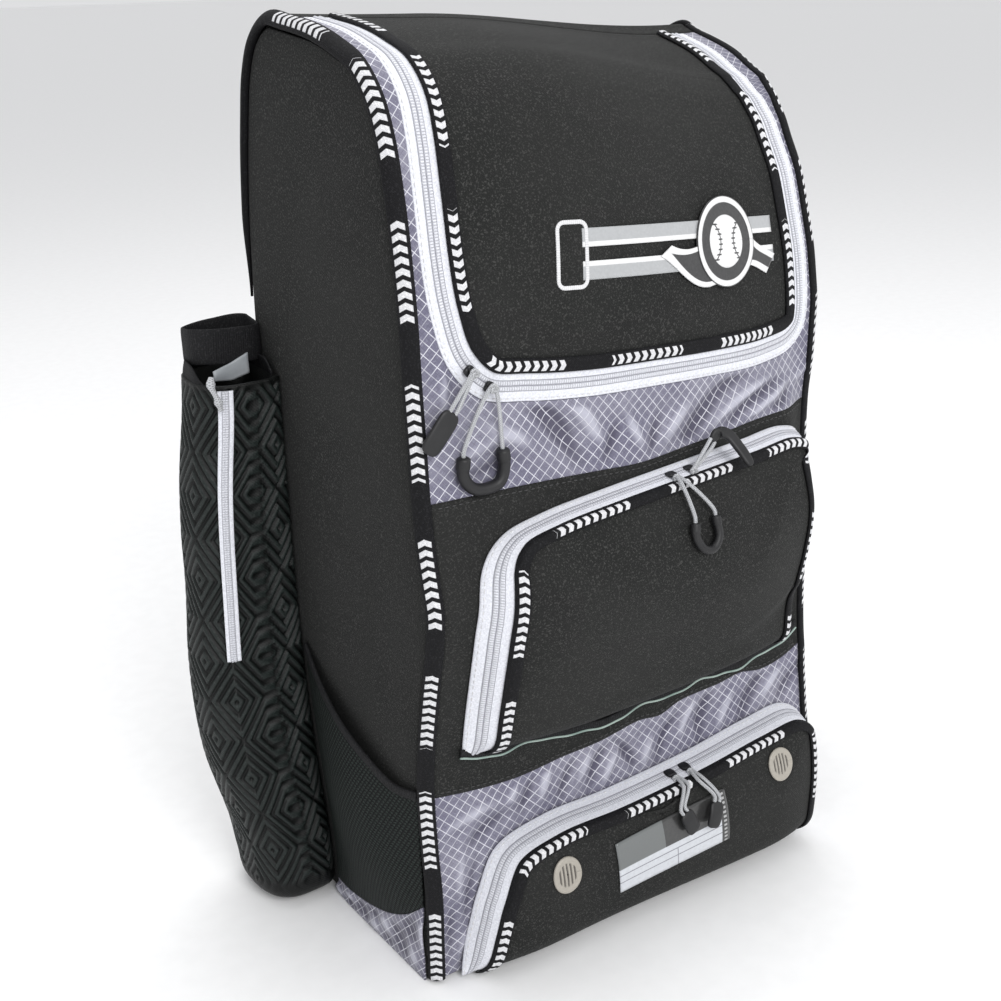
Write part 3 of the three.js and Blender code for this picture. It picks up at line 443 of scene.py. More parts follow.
def outline(edge, over, facing, steps, side=1.0, top=1.0, level_ends=False):
    """Outline of a zipper across the front: for each point its x, its distance along the side
    view, the direction inwards and the share of the tape's width that shows."""
    knots = np.stack([edge[:, 0] * HALF, along_front(edge[:, 1] * HEIGHT)], axis=1)
    for knot in over:
        knots = np.vstack([(-knot[0], knot[1]), knots, knot])
    line = spline(knots, steps)
    ahead = np.gradient(line, axis=0)
    ahead /= np.linalg.norm(ahead, axis=1)[:, None]
    inward = np.stack([-facing * ahead[:, 1], facing * ahead[:, 0]], axis=1)
    if level_ends:
        share = np.linspace(0, 1, steps + 1)
        level = smooth(1 - np.minimum(share, 1 - share) / 0.02)[:, None]
        inward = mix(inward, np.stack([-np.sign(line[:, 0]), 0 * line[:, 0]], axis=1), level)
        inward /= np.linalg.norm(inward, axis=1)[:, None]
    narrow = side * inward[:, 0] ** 2 + top * inward[:, 1] ** 2
    return np.column_stack([line, inward, narrow])


def inset(path, deep):
    """Points in from an outline, for each of its points and each distance."""
    spot = path[:, None, :]
    deep = np.asarray(deep, float)[None]
    narrow = spot[..., NARROW]
    seen = np.where(deep < TAPE_WIDTH, deep * narrow, deep - TAPE_WIDTH * (1 - narrow))
    return spot[..., X] + spot[..., IN_X] * seen, spot[..., ALONG] + spot[..., IN_ALONG] * seen


def depth_inside(path, x, along):
    """Distance in from an outline to each point, taken over the tape's own width."""
    start, run = path[:-1, :2], np.diff(path[:, :2], axis=0)
    spots = np.stack([np.ravel(x), np.ravel(along)], axis=1)
    least = np.full(len(spots), np.inf)
    narrow = np.ones(len(spots))
    for piece in np.array_split(np.arange(len(spots)), max(1, len(spots) // 4000)):
        from_start = spots[piece, None] - start[None]
        share = np.clip((from_start * run).sum(-1) / (run**2).sum(-1), 0, 1)
        far = np.linalg.norm(from_start - share[..., None] * run, axis=-1)
        best = far.argmin(axis=1)
        row = np.arange(len(piece))
        least[piece] = far[row, best]
        narrow[piece] = mix(path[best, NARROW], path[best + 1, NARROW], share[row, best])
    deep = np.where(least < TAPE_WIDTH * narrow, least / narrow, least + TAPE_WIDTH * (1 - narrow))
    return deep.reshape(np.shape(x))


def pocket_rise(pocket, foot, deep, along):
    """How far a pocket stands off the panel: straight up over the tape, then a parabola to its
    middle, drawn in near the foot."""
    edge = pocket["edge"] * np.clip(deep / TAPE_WIDTH, 0, 1)
    middle = pocket["middle"] * (1 - (1 - np.clip((deep - TAPE_WIDTH) / pocket["reach"], 0, 1)) ** 2)
    ground = 1 - np.clip((along - foot) / pocket["foot"], 0, 1)
    return (edge + middle) * (1 - ground**3) + pocket["toe"] * ground**2


def no_rise(deep, along):
    return 0.0 * deep * along


def tape_section(low, thick):
    """Section of a zipper tape as distance in and height: a flat tape with two coils beside the
    middle, each half an ellipse, then back along the underside."""
    deep = np.concatenate([[0.3, 0.5, 1.2], np.linspace(6.2, 13.8, 31), [17, 19.4, 19.9, 20.0]])
    coils = sum(np.sqrt(np.clip(1 - ((deep - centre) / 1.5) ** 2, 0, 1)) for centre in TAPE_COILS)
    edge = np.clip(np.minimum(deep - 0.3, 20.0 - deep) / 0.3, 0, 1)
    top = low + thick * (0.5 + 0.5 * edge) + (COIL + 0.1) * coils
    under = deep[::-3]
    return np.column_stack([np.concatenate([deep, under]), np.concatenate([top, np.full(len(under), low)])])


def binding_section(low):
    """Section of a bound edge: half an ellipse over a flat underside."""
    angle = np.linspace(0, np.pi, 15)
    deep = BINDING_FROM + BINDING_WIDTH * (0.5 - 0.5 * np.cos(angle))
    top = low + 0.5 + (BINDING_THICK - 0.5) * np.sin(angle) ** 0.8
    under = deep[-2:0:-3]
    return np.column_stack([np.concatenate([deep, under]), np.concatenate([top, np.full(len(under), low)])])


def run_strip(name, path, section, rise, material, nodes):
    """A closed strip that follows an outline, its section given as distance in and height."""
    x, along = inset(path, section[:, 0])
    deep = np.broadcast_to(section[None, :, 0], x.shape)
    rings = lift(x, along, rise(deep, along) + section[None, :, 1])
    middle = lengths(rings[:, len(section) // 3])
    lay = stacked(middle[:, None], deep)
    return add_tube(name, rings, lay, material, nodes)


def fan(path, shares, rise, extra):
    """The cloth inside an outline, from the outline to a line up its middle. Each row on the
    left shares its last point with its mirror on the right."""
    x0, along0 = inset(path, [TAPE_WIDTH + GAP])
    level = (path[:, ALONG] + path[::-1, ALONG])[:, None] / 2
    base = (path[0, ALONG] + path[-1, ALONG]) / 2
    share = np.asarray(shares)[None]
    x = x0 * (1 - share)
    along = mix(along0, mix(base, level, 0.78), share)
    within = np.maximum(depth_inside(path, x, along), TAPE_WIDTH + GAP)
    points = lift(x, along, rise(within, along) + extra(x, along, within))
    rows, columns = x.shape
    index = np.arange(rows * columns).reshape(rows, columns)
    index[rows // 2 + 1:, -1] = index[: rows // 2, -1][::-1]
    return points, index, np.stack([x, along], axis=-1)


def add_fan(name, fan_parts, material, nodes, middle, thick):
    points, index, lay = fan_parts
    used, numbers = np.unique(index, return_inverse=True)
    faces = quads(numbers.reshape(index.shape))
    keep = (faces[:, 1] != faces[:, 2]) | (faces[:, 0] != faces[:, 3])
    piece = add_piece(
        name, points.reshape(-1, 3)[used], [faces[keep]], lay.reshape(-1, 2)[used], material, nodes, middle
    )
    return thicken(piece, thick)


# Shader helpers
def add_node(tree, kind, inputs=(), **settings):
    """A node with its settings, its inputs set or linked by name or number."""
    made = tree.nodes.new(kind)
    for key, value in settings.items():
        setattr(made, key, value)
    for key, value in dict(inputs).items():
        if isinstance(value, bpy.types.NodeSocket):
            tree.links.new(value, made.inputs[key])
        else:
            made.inputs[key].default_value = value
    return made


def calc(tree, operation, *values):
    return add_node(tree, "ShaderNodeMath", enumerate(values), operation=operation).outputs[0]


def step_up(tree, value, low, high):
    """Zero below low and one above high."""
    return add_node(
        tree, "ShaderNodeMapRange", {0: value, 1: low, 2: high}, interpolation_type="SMOOTHSTEP"
    ).outputs[0]


def plus(tree, first, second):
    return calc(tree, "ADD", first, second)


def minus(tree, first, second):
    return calc(tree, "SUBTRACT", first, second)


def below(tree, value, edge):
    return calc(tree, "LESS_THAN", value, edge)


def repeat(tree, value, period):
    """The share of a period that a value has run through."""
    return calc(tree, "FRACT", calc(tree, "DIVIDE", value, period))


def times(tree, first, second):
    return calc(tree, "MULTIPLY", first, second)


def apart(tree, value, centre):
    """How far a value is from a centre."""
    return calc(tree, "ABSOLUTE", calc(tree, "SUBTRACT", value, centre))


def fall(tree, value, low, high):
    """One below low and zero above high."""
    return calc(tree, "SUBTRACT", 1.0, step_up(tree, value, low, high))


def ripple(tree, value, pitch):
    """A row of arches, one every pitch."""
    return calc(tree, "ABSOLUTE", calc(tree, "SINE", times(tree, value, math.pi / pitch)))


def blend_colour(tree, share, first, second):
    made = add_node(tree, "ShaderNodeMix", {0: share, 6: first, 7: second}, data_type="RGBA")
    return made.outputs[2]


def new_group(name, inputs, outputs):
    """A shader group with named value sockets; a name that starts with `place` is a vector."""
    group = bpy.data.node_groups.new(name, "ShaderNodeTree")
    for label, start in inputs.items():
        kind = "NodeSocketVector" if label.startswith("place") else "NodeSocketFloat"
        socket = group.interface.new_socket(label, in_out="INPUT", socket_type=kind)
        if start is not None:
            socket.default_value = start
    for label in outputs:
        group.interface.new_socket(label, in_out="OUTPUT", socket_type="NodeSocketFloat")
    source = group.nodes.new("NodeGroupInput").outputs
    target = group.nodes.new("NodeGroupOutput").inputs
    return group, source, target


def use_group(tree, group, **inputs):
    made = tree.nodes.new("ShaderNodeGroup")
    made.node_tree = group
    for label, value in inputs.items():
        if isinstance(value, bpy.types.NodeSocket):
            tree.links.new(value, made.inputs[label])
        else:
            made.inputs[label].default_value = value
    return made.outputs


def split_place(tree, place):
    parts = add_node(tree, "ShaderNodeSeparateXYZ", {0: place}).outputs
    return parts[0], parts[1]


def stand_out(tree, place):
    """The third value of a place: how far its fold or pad stands out."""
    return add_node(tree, "ShaderNodeSeparateXYZ", {0: place}).outputs[2]


def noise(tree, place, scale, detail):
    inputs = {"Vector": place, "Scale": scale, "Detail": detail}
    return add_node(tree, "ShaderNodeTexNoise", inputs).outputs[0]


def make_weave_group():
    """Plain weave: height is the larger of two rows of threads, each a raised cosine along one
    way that dips under every other thread. Speckle picks out pale fibres."""
    inputs = {"place": None, "place object": None, "pitch": 0.8, "speckle size": 900.0}
    tree, source, target = new_group("plain_weave", inputs, ["height", "speckle", "cloud"])
    u, v = split_place(tree, source["place"])
    waves = []
    for here, other in ((u, v), (v, u)):
        turn = calc(tree, "DIVIDE", times(tree, here, math.pi), source["pitch"])
        cross = calc(tree, "DIVIDE", times(tree, other, math.pi), source["pitch"])
        thread = calc(tree, "ABSOLUTE", calc(tree, "SINE", turn))
        under = times(tree, calc(tree, "SINE", plus(tree, cross, turn)), 0.35)
        waves.append(plus(tree, thread, under))
    tree.links.new(calc(tree, "MAXIMUM", *waves), target["height"])
    grain = noise(tree, source["place object"], source["speckle size"], 2.0)
    tree.links.new(step_up(tree, grain, 0.5, 0.72), target["speckle"])
    tree.links.new(noise(tree, source["place object"], 9.0, 3.0), target["cloud"])
    return tree


def make_grid_group():
    """Diamond grid: a line wherever u + v or u - v is near a multiple of the pitch, with the
    edge softened, and its brightness broken up by noise."""
    inputs = {"place": None, "pitch": 8.0, "line": 0.75}
    tree, source, target = new_group("diamond_grid", inputs, ["line", "height"])
    u, v = split_place(tree, source["place"])
    sides = []
    for sign in ("ADD", "SUBTRACT"):
        across = calc(tree, "DIVIDE", calc(tree, sign, u, v), source["pitch"])
        share = apart(tree, calc(tree, "FRACT", across), 0.5)
        far = times(tree, minus(tree, 0.5, share), source["pitch"])
        edge = calc(tree, "DIVIDE", far, source["line"])
        sides.append(fall(tree, edge, 0.5, 1.2))
    lines = calc(tree, "MAXIMUM", *sides)
    tree.links.new(lines, target["height"])
    worn = step_up(tree, noise(tree, source["place"], 0.09, 2.0), 0.25, 0.6)
    strength = plus(tree, 0.35, times(tree, worn, 0.65))
    tree.links.new(times(tree, lines, strength), target["line"])
    return tree


def make_tick_group():
    """Groups of pale chevrons along a binding: marked for `marked` millimetres in every
    `period`, one chevron every `pitch`, its arms leaning back by half the distance from the
    centre line."""
    tree, source, target = new_group(
        "binding_ticks",
        {"place": None, "centre": 0.0, "tall": 6.0, "pitch": 6.4, "period": 92.0, "marked": 57.6},
        ["mark"],
    )
    u, v = split_place(tree, source["place"])
    rise = apart(tree, v, source["centre"])
    leaning = plus(tree, u, times(tree, rise, 0.5))
    share = repeat(tree, leaning, source["pitch"])
    side = apart(tree, share, 0.5)
    arm = fall(tree, side, 0.25, 0.32)
    height = calc(tree, "DIVIDE", rise, source["tall"])
    arm = times(tree, arm, fall(tree, height, 0.47, 0.53))
    place = times(tree, repeat(tree, leaning, source["period"]), source["period"])
    within = below(tree, place, source["marked"])
    tree.links.new(times(tree, arm, within), target["mark"])
    return tree


def make_wear_group():
    """Uneven tone: broad noise for fading and fine noise for fibres, each from 0 to 1."""
    inputs = {"place": None, "broad size": 12.0, "fine size": 400.0}
    tree, source, target = new_group("uneven_tone", inputs, ["broad", "fine"])
    for label in ("broad", "fine"):
        tree.links.new(noise(tree, source["place"], source[f"{label} size"], 4.0), target[label])
    return tree


WEAVE = make_weave_group()
GRID = make_grid_group()
TICKS = make_tick_group()
TONE = make_wear_group()


def new_material(name, slot, **settings):
    """A material with its Principled shader; settings go straight on the shader's sockets."""
    material = bpy.data.materials.new(name)
    material.use_nodes = True
    material["slot"] = slot
    tree = material.node_tree
    shader = tree.nodes["Principled BSDF"]
    for label, value in settings.items():
        shader.inputs[label.replace("_", " ")].default_value = value
    lay = add_node(tree, "ShaderNodeAttribute", attribute_name="lay").outputs["Vector"]
    place = add_node(tree, "ShaderNodeTexCoord").outputs["Object"]
    return material, tree, shader, lay, place


def woven(tree, lay, place, pitch, speckle):
    inputs = {"place": lay, "place object": place, "pitch": pitch, "speckle size": speckle}
    return use_group(tree, WEAVE, **inputs)


def toned(tree, place, broad, fine):
    return use_group(tree, TONE, **{"place": place, "broad size": broad, "fine size": fine})


def paint(tree, shader, colour):
    tree.links.new(colour, shader.inputs["Base Color"])


def bump(tree, shader, height, strength, distance):
    made = add_node(tree, "ShaderNodeBump", {"Height": height, "Strength": strength, "Distance": distance})
    tree.links.new(made.outputs[0], shader.inputs["Normal"])


def rgb(red, green, blue):
    return (red, green, blue, 1.0)


def heather_cloth(name="heather_cloth", dark=rgb(0.014, 0.0145, 0.014), pale=rgb(0.052, 0.052, 0.05)):
    """Charcoal weave with pale fibres and a slow change of tone."""
    material, tree, shader, lay, place = new_material(
        name, "cloth", Roughness=0.85, Sheen_Weight=0.03, Specular_IOR_Level=0.14
    )
    weave = woven(tree, lay, place, 0.9, 850.0)
    base = blend_colour(tree, weave["speckle"], dark, pale)
    fade = step_up(tree, weave["cloud"], 0.35, 0.7)
    colour = blend_colour(tree, times(tree, fade, 0.35), base, rgb(0.03, 0.03, 0.029))
    paint(tree, shader, colour)
    height = plus(tree, weave["height"], times(tree, weave["speckle"], 0.6))
    bump(tree, shader, height, 0.5, 0.0003)
    return material


def ripstop_cloth():
    """Silver ripstop: satin ground with pale raised grid lines, thin dark threads between them,
    painted shade in the valleys of folds and a painted highlight on their ridges."""
    material, tree, shader, lay, place = new_material(
        "silver_ripstop", "ripstop", Roughness=0.4, Metallic=0.2, Sheen_Weight=0.1, Specular_IOR_Level=0.4
    )
    grid = use_group(tree, GRID, place=lay, pitch=8.3, line=0.46)
    beside = {0: lay, 1: (4.1, 0.0, 0.0)}
    shifted = add_node(tree, "ShaderNodeVectorMath", beside, operation="ADD").outputs[0]
    fine = use_group(tree, GRID, place=shifted, pitch=8.3, line=0.24)
    weave = woven(tree, lay, place, 0.55, 700.0)
    tone = toned(tree, place, 14.0, 500.0)
    fade = step_up(tree, tone["broad"], 0.35, 0.65)
    ground = blend_colour(tree, fade, rgb(0.14, 0.135, 0.195), rgb(0.23, 0.225, 0.285))
    ground = blend_colour(tree, times(tree, weave["speckle"], 0.25), ground, rgb(0.4, 0.4, 0.46))
    ground = blend_colour(tree, times(tree, fine["line"], 0.5), ground, rgb(0.06, 0.055, 0.09))
    fold = stand_out(tree, lay)
    # Painted shade: darker where the fold height, the lay's third value, dips into a valley.
    painted_valley_shade = minus(tree, 0.85, times(tree, step_up(tree, fold, -2.6, 0.2), 0.85))
    ground = blend_colour(tree, painted_valley_shade, ground, rgb(0.055, 0.05, 0.085))
    # Painted highlight: paler where the fold height rises to a ridge.
    painted_ridge_highlight = times(tree, step_up(tree, fold, 0.6, 2.8), 0.75)
    ground = blend_colour(tree, painted_ridge_highlight, ground, rgb(0.52, 0.52, 0.6))
    colour = blend_colour(tree, grid["line"], ground, rgb(0.66, 0.66, 0.72))
    paint(tree, shader, colour)
    rough = plus(tree, 0.34, times(tree, tone["fine"], 0.16))
    tree.links.new(rough, shader.inputs["Roughness"])
    height = plus(tree, grid["height"], times(tree, weave["height"], 0.25))
    bump(tree, shader, height, 0.6, 0.0004)
    return material


def zipper_tape(name, coil_at):
    """White tape with two white coils, a thin dark line of painted shade on each side of a coil and
    painted shade in the gaps between its teeth: the lay's second value is the distance in, and the coils'
    teeth are stripes across it."""
    material, tree, shader, lay, place = new_material(name, "zipper_tape", Roughness=0.62, Sheen_Weight=0.1)
    u, v = split_place(tree, lay)
    far = [apart(tree, v, centre) for centre in coil_at]
    nearest = calc(tree, "MINIMUM", *far)
    coil = fall(tree, nearest, 0.9, 1.5)
    tooth = ripple(tree, u, 1.7)
    # Painted shade in the gaps between a coil's teeth.
    tooth_gap_shade = times(tree, coil, minus(tree, 1.0, tooth))
    tone = toned(tree, place, 20.0, 900.0)
    rib = ripple(tree, u, 0.9)
    fibres = step_up(tree, tone["fine"], 0.3, 0.7)
    ground = blend_colour(tree, fibres, rgb(0.6, 0.61, 0.66), rgb(0.76, 0.77, 0.82))
    colour = blend_colour(tree, times(tree, tooth_gap_shade, 0.7), ground, rgb(0.26, 0.26, 0.29))
    # Painted shade: a thin dark line along each edge of a coil.
    border = fall(tree, apart(tree, nearest, 1.6), 0.12, 0.42)
    colour = blend_colour(tree, times(tree, border, 0.75), colour, rgb(0.16, 0.16, 0.19))
    paint(tree, shader, colour)
    height = plus(tree, times(tree, rib, 0.25), times(tree, times(tree, coil, tooth), 1.2))
    bump(tree, shader, height, 0.7, 0.0004)
    return material


def bound_edge(name, centre, tall):
    """Black woven binding with groups of pale chevrons."""
    material, tree, shader, lay, place = new_material(name, "binding", Roughness=0.72, Specular_IOR_Level=0.2)
    marks = use_group(tree, TICKS, place=lay, centre=centre, tall=tall)
    weave = woven(tree, lay, place, 0.7, 900.0)
    ground = blend_colour(tree, weave["speckle"], rgb(0.004, 0.004, 0.005), rgb(0.016, 0.016, 0.018))
    thread = blend_colour(tree, weave["speckle"], rgb(0.62, 0.62, 0.64), rgb(0.86, 0.86, 0.86))
    paint(tree, shader, blend_colour(tree, marks["mark"], ground, thread))
    height = plus(tree, weave["height"], times(tree, marks["mark"], 0.8))
    bump(tree, shader, height, 0.6, 0.0003)
    return material


def ribbed_mesh():
    """Black mesh: fine slanted ribs crossed by rows of small holes."""
    material, tree, shader, lay, place = new_material(
        "black_mesh", "mesh", Roughness=0.7, Specular_IOR_Level=0.2
    )
    u, v = split_place(tree, lay)
    rib = ripple(tree, plus(tree, u, times(tree, v, 0.55)), 3.4)
    hole = ripple(tree, minus(tree, v, times(tree, u, 0.35)), 2.6)
    knit = times(tree, rib, hole)
    tone = toned(tree, place, 20.0, 600.0)
    uneven = times(tree, minus(tree, tone["fine"], 0.5), 0.5)
    mask = step_up(tree, plus(tree, knit, uneven), 0.25, 0.75)
    paint(tree, shader, blend_colour(tree, mask, rgb(0.001, 0.002, 0.002), rgb(0.017, 0.024, 0.021)))
    bump(tree, shader, knit, 0.9, 0.0009)
    return material


def embossed_cloth():
    """Near-black satin cloth whose raised pads, marked by the lay's third value, are paler: a painted
    highlight on the pads, with painted shade in the darker grooves.
    """
    material, tree, shader, lay, place = new_material(
        "embossed_black", "embossed_cloth", Roughness=0.5, Specular_IOR_Level=0.3
    )
    weave = woven(tree, lay, place, 1.1, 800.0)
    base = blend_colour(tree, weave["speckle"], rgb(0.001, 0.0015, 0.0014), rgb(0.003, 0.0045, 0.004))
    # Painted highlight on the raised pads, read from the lay's third value; the grooves keep the darker base
    # as painted shade.
    pad = step_up(tree, stand_out(tree, lay), 0.45, 1.0)
    raised = blend_colour(tree, weave["speckle"], rgb(0.008, 0.012, 0.011), rgb(0.022, 0.029, 0.027))
    paint(tree, shader, blend_colour(tree, pad, base, raised))
    bump(tree, shader, weave["height"], 0.4, 0.0003)
    return material


def braided_cord(name, colour, slot="cord"):
    """Braid: two crossing sets of slanted strands along the cord, with painted shade in the crevices between
    them.
    """
    material, tree, shader, lay, place = new_material(name, slot, Roughness=0.6, Sheen_Weight=0.2)
    u, v = split_place(tree, lay)
    strands = [
        ripple(tree, calc(tree, sign, u, v), 1.5)
        for sign in ("ADD", "SUBTRACT")
    ]
    braid = calc(tree, "MAXIMUM", *strands)
    # Painted shade in the crevices between the strands.
    painted_crevice_shade = tuple(0.45 * c for c in colour[:3]) + (1.0,)
    paint(tree, shader, blend_colour(tree, step_up(tree, braid, 0.55, 0.95), painted_crevice_shade, colour))
    bump(tree, shader, braid, 0.8, 0.0004)
    return material


def plain_finish(name, slot, first, second, roughness, metallic=0.0, fine=300.0, coat=0.0):
    """Moulded rubber, metal or satin print: two close tones from noise, and a slight grain."""
    material, tree, shader, lay, place = new_material(
        name, slot, Roughness=roughness, Metallic=metallic, Coat_Weight=coat
    )
    tone = toned(tree, place, 60.0, fine)
    paint(tree, shader, blend_colour(tree, step_up(tree, tone["broad"], 0.3, 0.7), first, second))
    rough = plus(tree, roughness - 0.06, times(tree, tone["fine"], 0.14))
    tree.links.new(rough, shader.inputs["Roughness"])
    bump(tree, shader, tone["fine"], 0.3, 0.0002)
    return material


def webbing_cloth():
    """Black webbing: ribs across it and a raised edge."""
    material, tree, shader, lay, place = new_material(
        "black_webbing", "webbing", Roughness=0.7, Specular_IOR_Level=0.25
    )
    u, v = split_place(tree, lay)
    rib = ripple(tree, u, 1.6)
    weave = woven(tree, lay, place, 0.8, 900.0)
    colour = blend_colour(tree, weave["speckle"], rgb(0.005, 0.005, 0.006), rgb(0.022, 0.022, 0.024))
    paint(tree, shader, colour)
    bump(tree, shader, plus(tree, rib, times(tree, weave["height"], 0.3)), 0.6, 0.0004)
    return material


def drawn(name, slot, roughness, draw, fine=500.0, **settings):
    """Print or thread on a patch: draw gives the colour from the place on it."""
    material, tree, shader, lay, place = new_material(name, slot, Roughness=roughness, **settings)
    u, v = split_place(tree, lay)
    tone = toned(tree, place, 40.0, fine)
    colour = draw(tree, u, v)
    shaded = blend_colour(tree, times(tree, tone["fine"], 0.3), colour, rgb(0.12, 0.12, 0.12))
    paint(tree, shader, shaded)
    bump(tree, shader, tone["fine"], 0.4, 0.0003)
    return material


def draw_stripes(tree, u, v):
    """White towards the middle, grey outside."""
    edge = step_up(tree, calc(tree, "ABSOLUTE", v), 7.0, 7.4)
    return blend_colour(tree, edge, rgb(0.8, 0.8, 0.8), rgb(0.42, 0.43, 0.44))


def draw_badge(tree, u, v):
    """A pale rim, and a pale ball with two curved rows of short stitches."""
    radius = calc(tree, "SQRT", plus(tree, times(tree, u, u), times(tree, v, v)))
    rim = fall(tree, apart(tree, radius, 26.6), 1.6, 2.0)
    ball = fall(tree, radius, 16.6, 17.0)
    rows = []
    for sign in (-1, 1):
        shift = minus(tree, u, sign * 21.0)
        far = calc(tree, "SQRT", plus(tree, times(tree, shift, shift), times(tree, v, v)))
        off = apart(tree, far, 14.5)
        seam = fall(tree, off, 0.35, 0.55)
        tick = apart(tree, repeat(tree, v, 3.2), 0.5)
        dash = times(tree, fall(tree, off, 1.7, 2.0), fall(tree, tick, 0.12, 0.18))
        rows.append(calc(tree, "MAXIMUM", seam, dash))
    seams = calc(tree, "MAXIMUM", *rows)
    pale = calc(tree, "MAXIMUM", rim, times(tree, ball, minus(tree, 1.0, seams)))
    return blend_colour(tree, pale, rgb(0.01, 0.01, 0.011), rgb(0.8, 0.8, 0.8))


def draw_ribbon(tree, u, v):
    """Dark, with a pale border 3 mm wide."""
    return blend_colour(tree, step_up(tree, u, 3.0, 3.4), rgb(0.8, 0.8, 0.8), rgb(0.01, 0.01, 0.011))


def draw_label(tree, u, v):
    """A grey upper half, two white rows below with thin lines, an upright divider, and a dark
    strip at the right-hand end."""
    white = fall(tree, v, -0.3, 0.3)
    lines = [calc(tree, "ABSOLUTE", plus(tree, v, at)) for at in (4.5, 10.0)]
    line = fall(tree, calc(tree, "MINIMUM", *lines), 0.2, 0.5)
    upright = fall(tree, apart(tree, u, 2.0), 0.2, 0.5)
    lower = below(tree, v, -4.5)
    marks = times(tree, calc(tree, "MAXIMUM", line, times(tree, upright, lower)), white)
    colour = blend_colour(tree, white, rgb(0.13, 0.14, 0.14), rgb(0.62, 0.64, 0.68))
    colour = blend_colour(tree, times(tree, marks, 0.8), colour, rgb(0.1, 0.1, 0.13))
    corner = times(tree, calc(tree, "GREATER_THAN", u, -8.0), calc(tree, "GREATER_THAN", v, 0.0))
    colour = blend_colour(tree, corner, colour, rgb(0.022, 0.022, 0.022))
    end = step_up(tree, u, 42.0, 42.4)
    column = below(tree, apart(tree, u, 45.6), 1.3)
    tick = times(tree, below(tree, repeat(tree, v, 3.0), 0.5), column)
    strip = blend_colour(tree, times(tree, tick, 0.8), rgb(0.015, 0.015, 0.015), rgb(0.5, 0.5, 0.5))
    return blend_colour(tree, end, colour, strip)


def draw_vent(tree, u, v):
    """Bronze, with the slots dark."""
    return blend_colour(tree, u, rgb(0.4, 0.37, 0.32), rgb(0.1, 0.09, 0.08))


def draw_thread(tree, u, v):
    strand = calc(tree, "FRACT", times(tree, u, 0.7))
    return blend_colour(tree, strand, rgb(0.6, 0.6, 0.62), rgb(0.8, 0.8, 0.8))


def draw_dark_thread(tree, u, v):
    strand = calc(tree, "FRACT", times(tree, u, 0.7))
    return blend_colour(tree, strand, rgb(0.012, 0.012, 0.012), rgb(0.05, 0.05, 0.05))


HEATHER = heather_cloth()
STRIPE = drawn("stripe_print", "stripes", 0.4, draw_stripes)
EMBLEM = drawn("badge_thread", "emblem", 0.5, draw_badge, Sheen_Weight=0.2)
RIBBON = drawn("ribbon_thread", "emblem", 0.5, draw_ribbon, Sheen_Weight=0.2)
LABEL = drawn("card_in_film", "label", 0.3, draw_label, Coat_Weight=0.5)
THREAD = drawn("pale_thread", "stripes", 0.6, draw_thread)
DARK_THREAD = drawn("dark_thread", "cloth", 0.6, draw_dark_thread)
VENT = drawn("bronze_vent", "vent", 0.45, draw_vent, Metallic=0.15)
RIPSTOP = ripstop_cloth()
TAPE = zipper_tape("white_tape", TAPE_COILS)
SLEEVE_TAPE = zipper_tape("sleeve_tape", SLEEVE_COILS)
EDGE = bound_edge("ticked_binding", 22.2, 6.2)
PIPE = bound_edge("ticked_piping", PIPING_CENTRE, 8.0)
MESH = ribbed_mesh()
EMBOSSED = embossed_cloth()
WEBBING = webbing_cloth()
CORD = braided_cord("grey_cord", rgb(0.5, 0.51, 0.53))
RUBBER = plain_finish("black_rubber", "rubber", rgb(0.004, 0.004, 0.005), rgb(0.008, 0.008, 0.009), 0.5)
TAB = plain_finish("grey_tab", "tab", rgb(0.3, 0.32, 0.34), rgb(0.42, 0.44, 0.46), 0.45)
METAL = plain_finish(
    "black_slider", "rubber", rgb(0.012, 0.012, 0.013), rgb(0.03, 0.03, 0.032), 0.34, metallic=0.5
)
# Pale grey-green for the tape ends' turned edges and for the painted highlight along the middle pocket's
# lower edge.
PALE_HEM_AND_HIGHLIGHT = plain_finish("pale_hem_and_highlight", "cloth", rgb(0.22, 0.3, 0.27), rgb(0.36, 0.44, 0.4), 0.6)

# Body panels
LOW_START = along_front(BASE_THICK + GAP)
FLAP_END = along_top(FLAP_BACK * DEPTH)
BACK_END = along_back(BASE_THICK + GAP)
INSIDE = (0.0, 0.0, 300.0)



def level_line(line, x):
    """Distance along the side view to a wavy line, at each x."""
    curve = spline(line, 200)
    return along_front(np.interp(x, curve[:, 0], curve[:, 1]))


# Folds of the ripstop: x, height, direction in degrees, half length, half width, height.
LOW_FOLDS = [
    (-138, 122, 12, 26, 5, 2.2),
    (-126, 108, 24, 24, 5, -2.2),
    (-104, 128, 64, 14, 4, 2.0),
    (-92, 122, 60, 14, 4, -2.4),
    (-78, 128, 66, 18, 5, 3.0),
    (-60, 120, 62, 16, 4, -2.4),
    (-44, 126, 58, 16, 4, 2.4),
    (-33, 122, 60, 16, 4, -3.2),
    (-23, 117, 56, 16, 4, 2.8),
    (-6, 122, -58, 18, 4, -3.2),
    (10, 118, 62, 16, 5, 2.4),
    (28, 122, 58, 18, 4, -3.0),
    (48, 134, 62, 18, 4, 3.0),
    (64, 130, 74, 20, 5, -3.6),
    (84, 128, 58, 18, 5, 2.6),
    (112, 132, 52, 20, 6, -3.6),
    (131, 136, 44, 18, 5, 3.0),
    (150, 128, 40, 16, 5, -2.6),
    (-150, 80, 80, 34, 4, 2.2),
    (-143, 66, 76, 30, 3, -1.8),
    (-158, 42, 84, 26, 4, -1.8),
    (-150, 26, 70, 20, 4, 1.8),
]
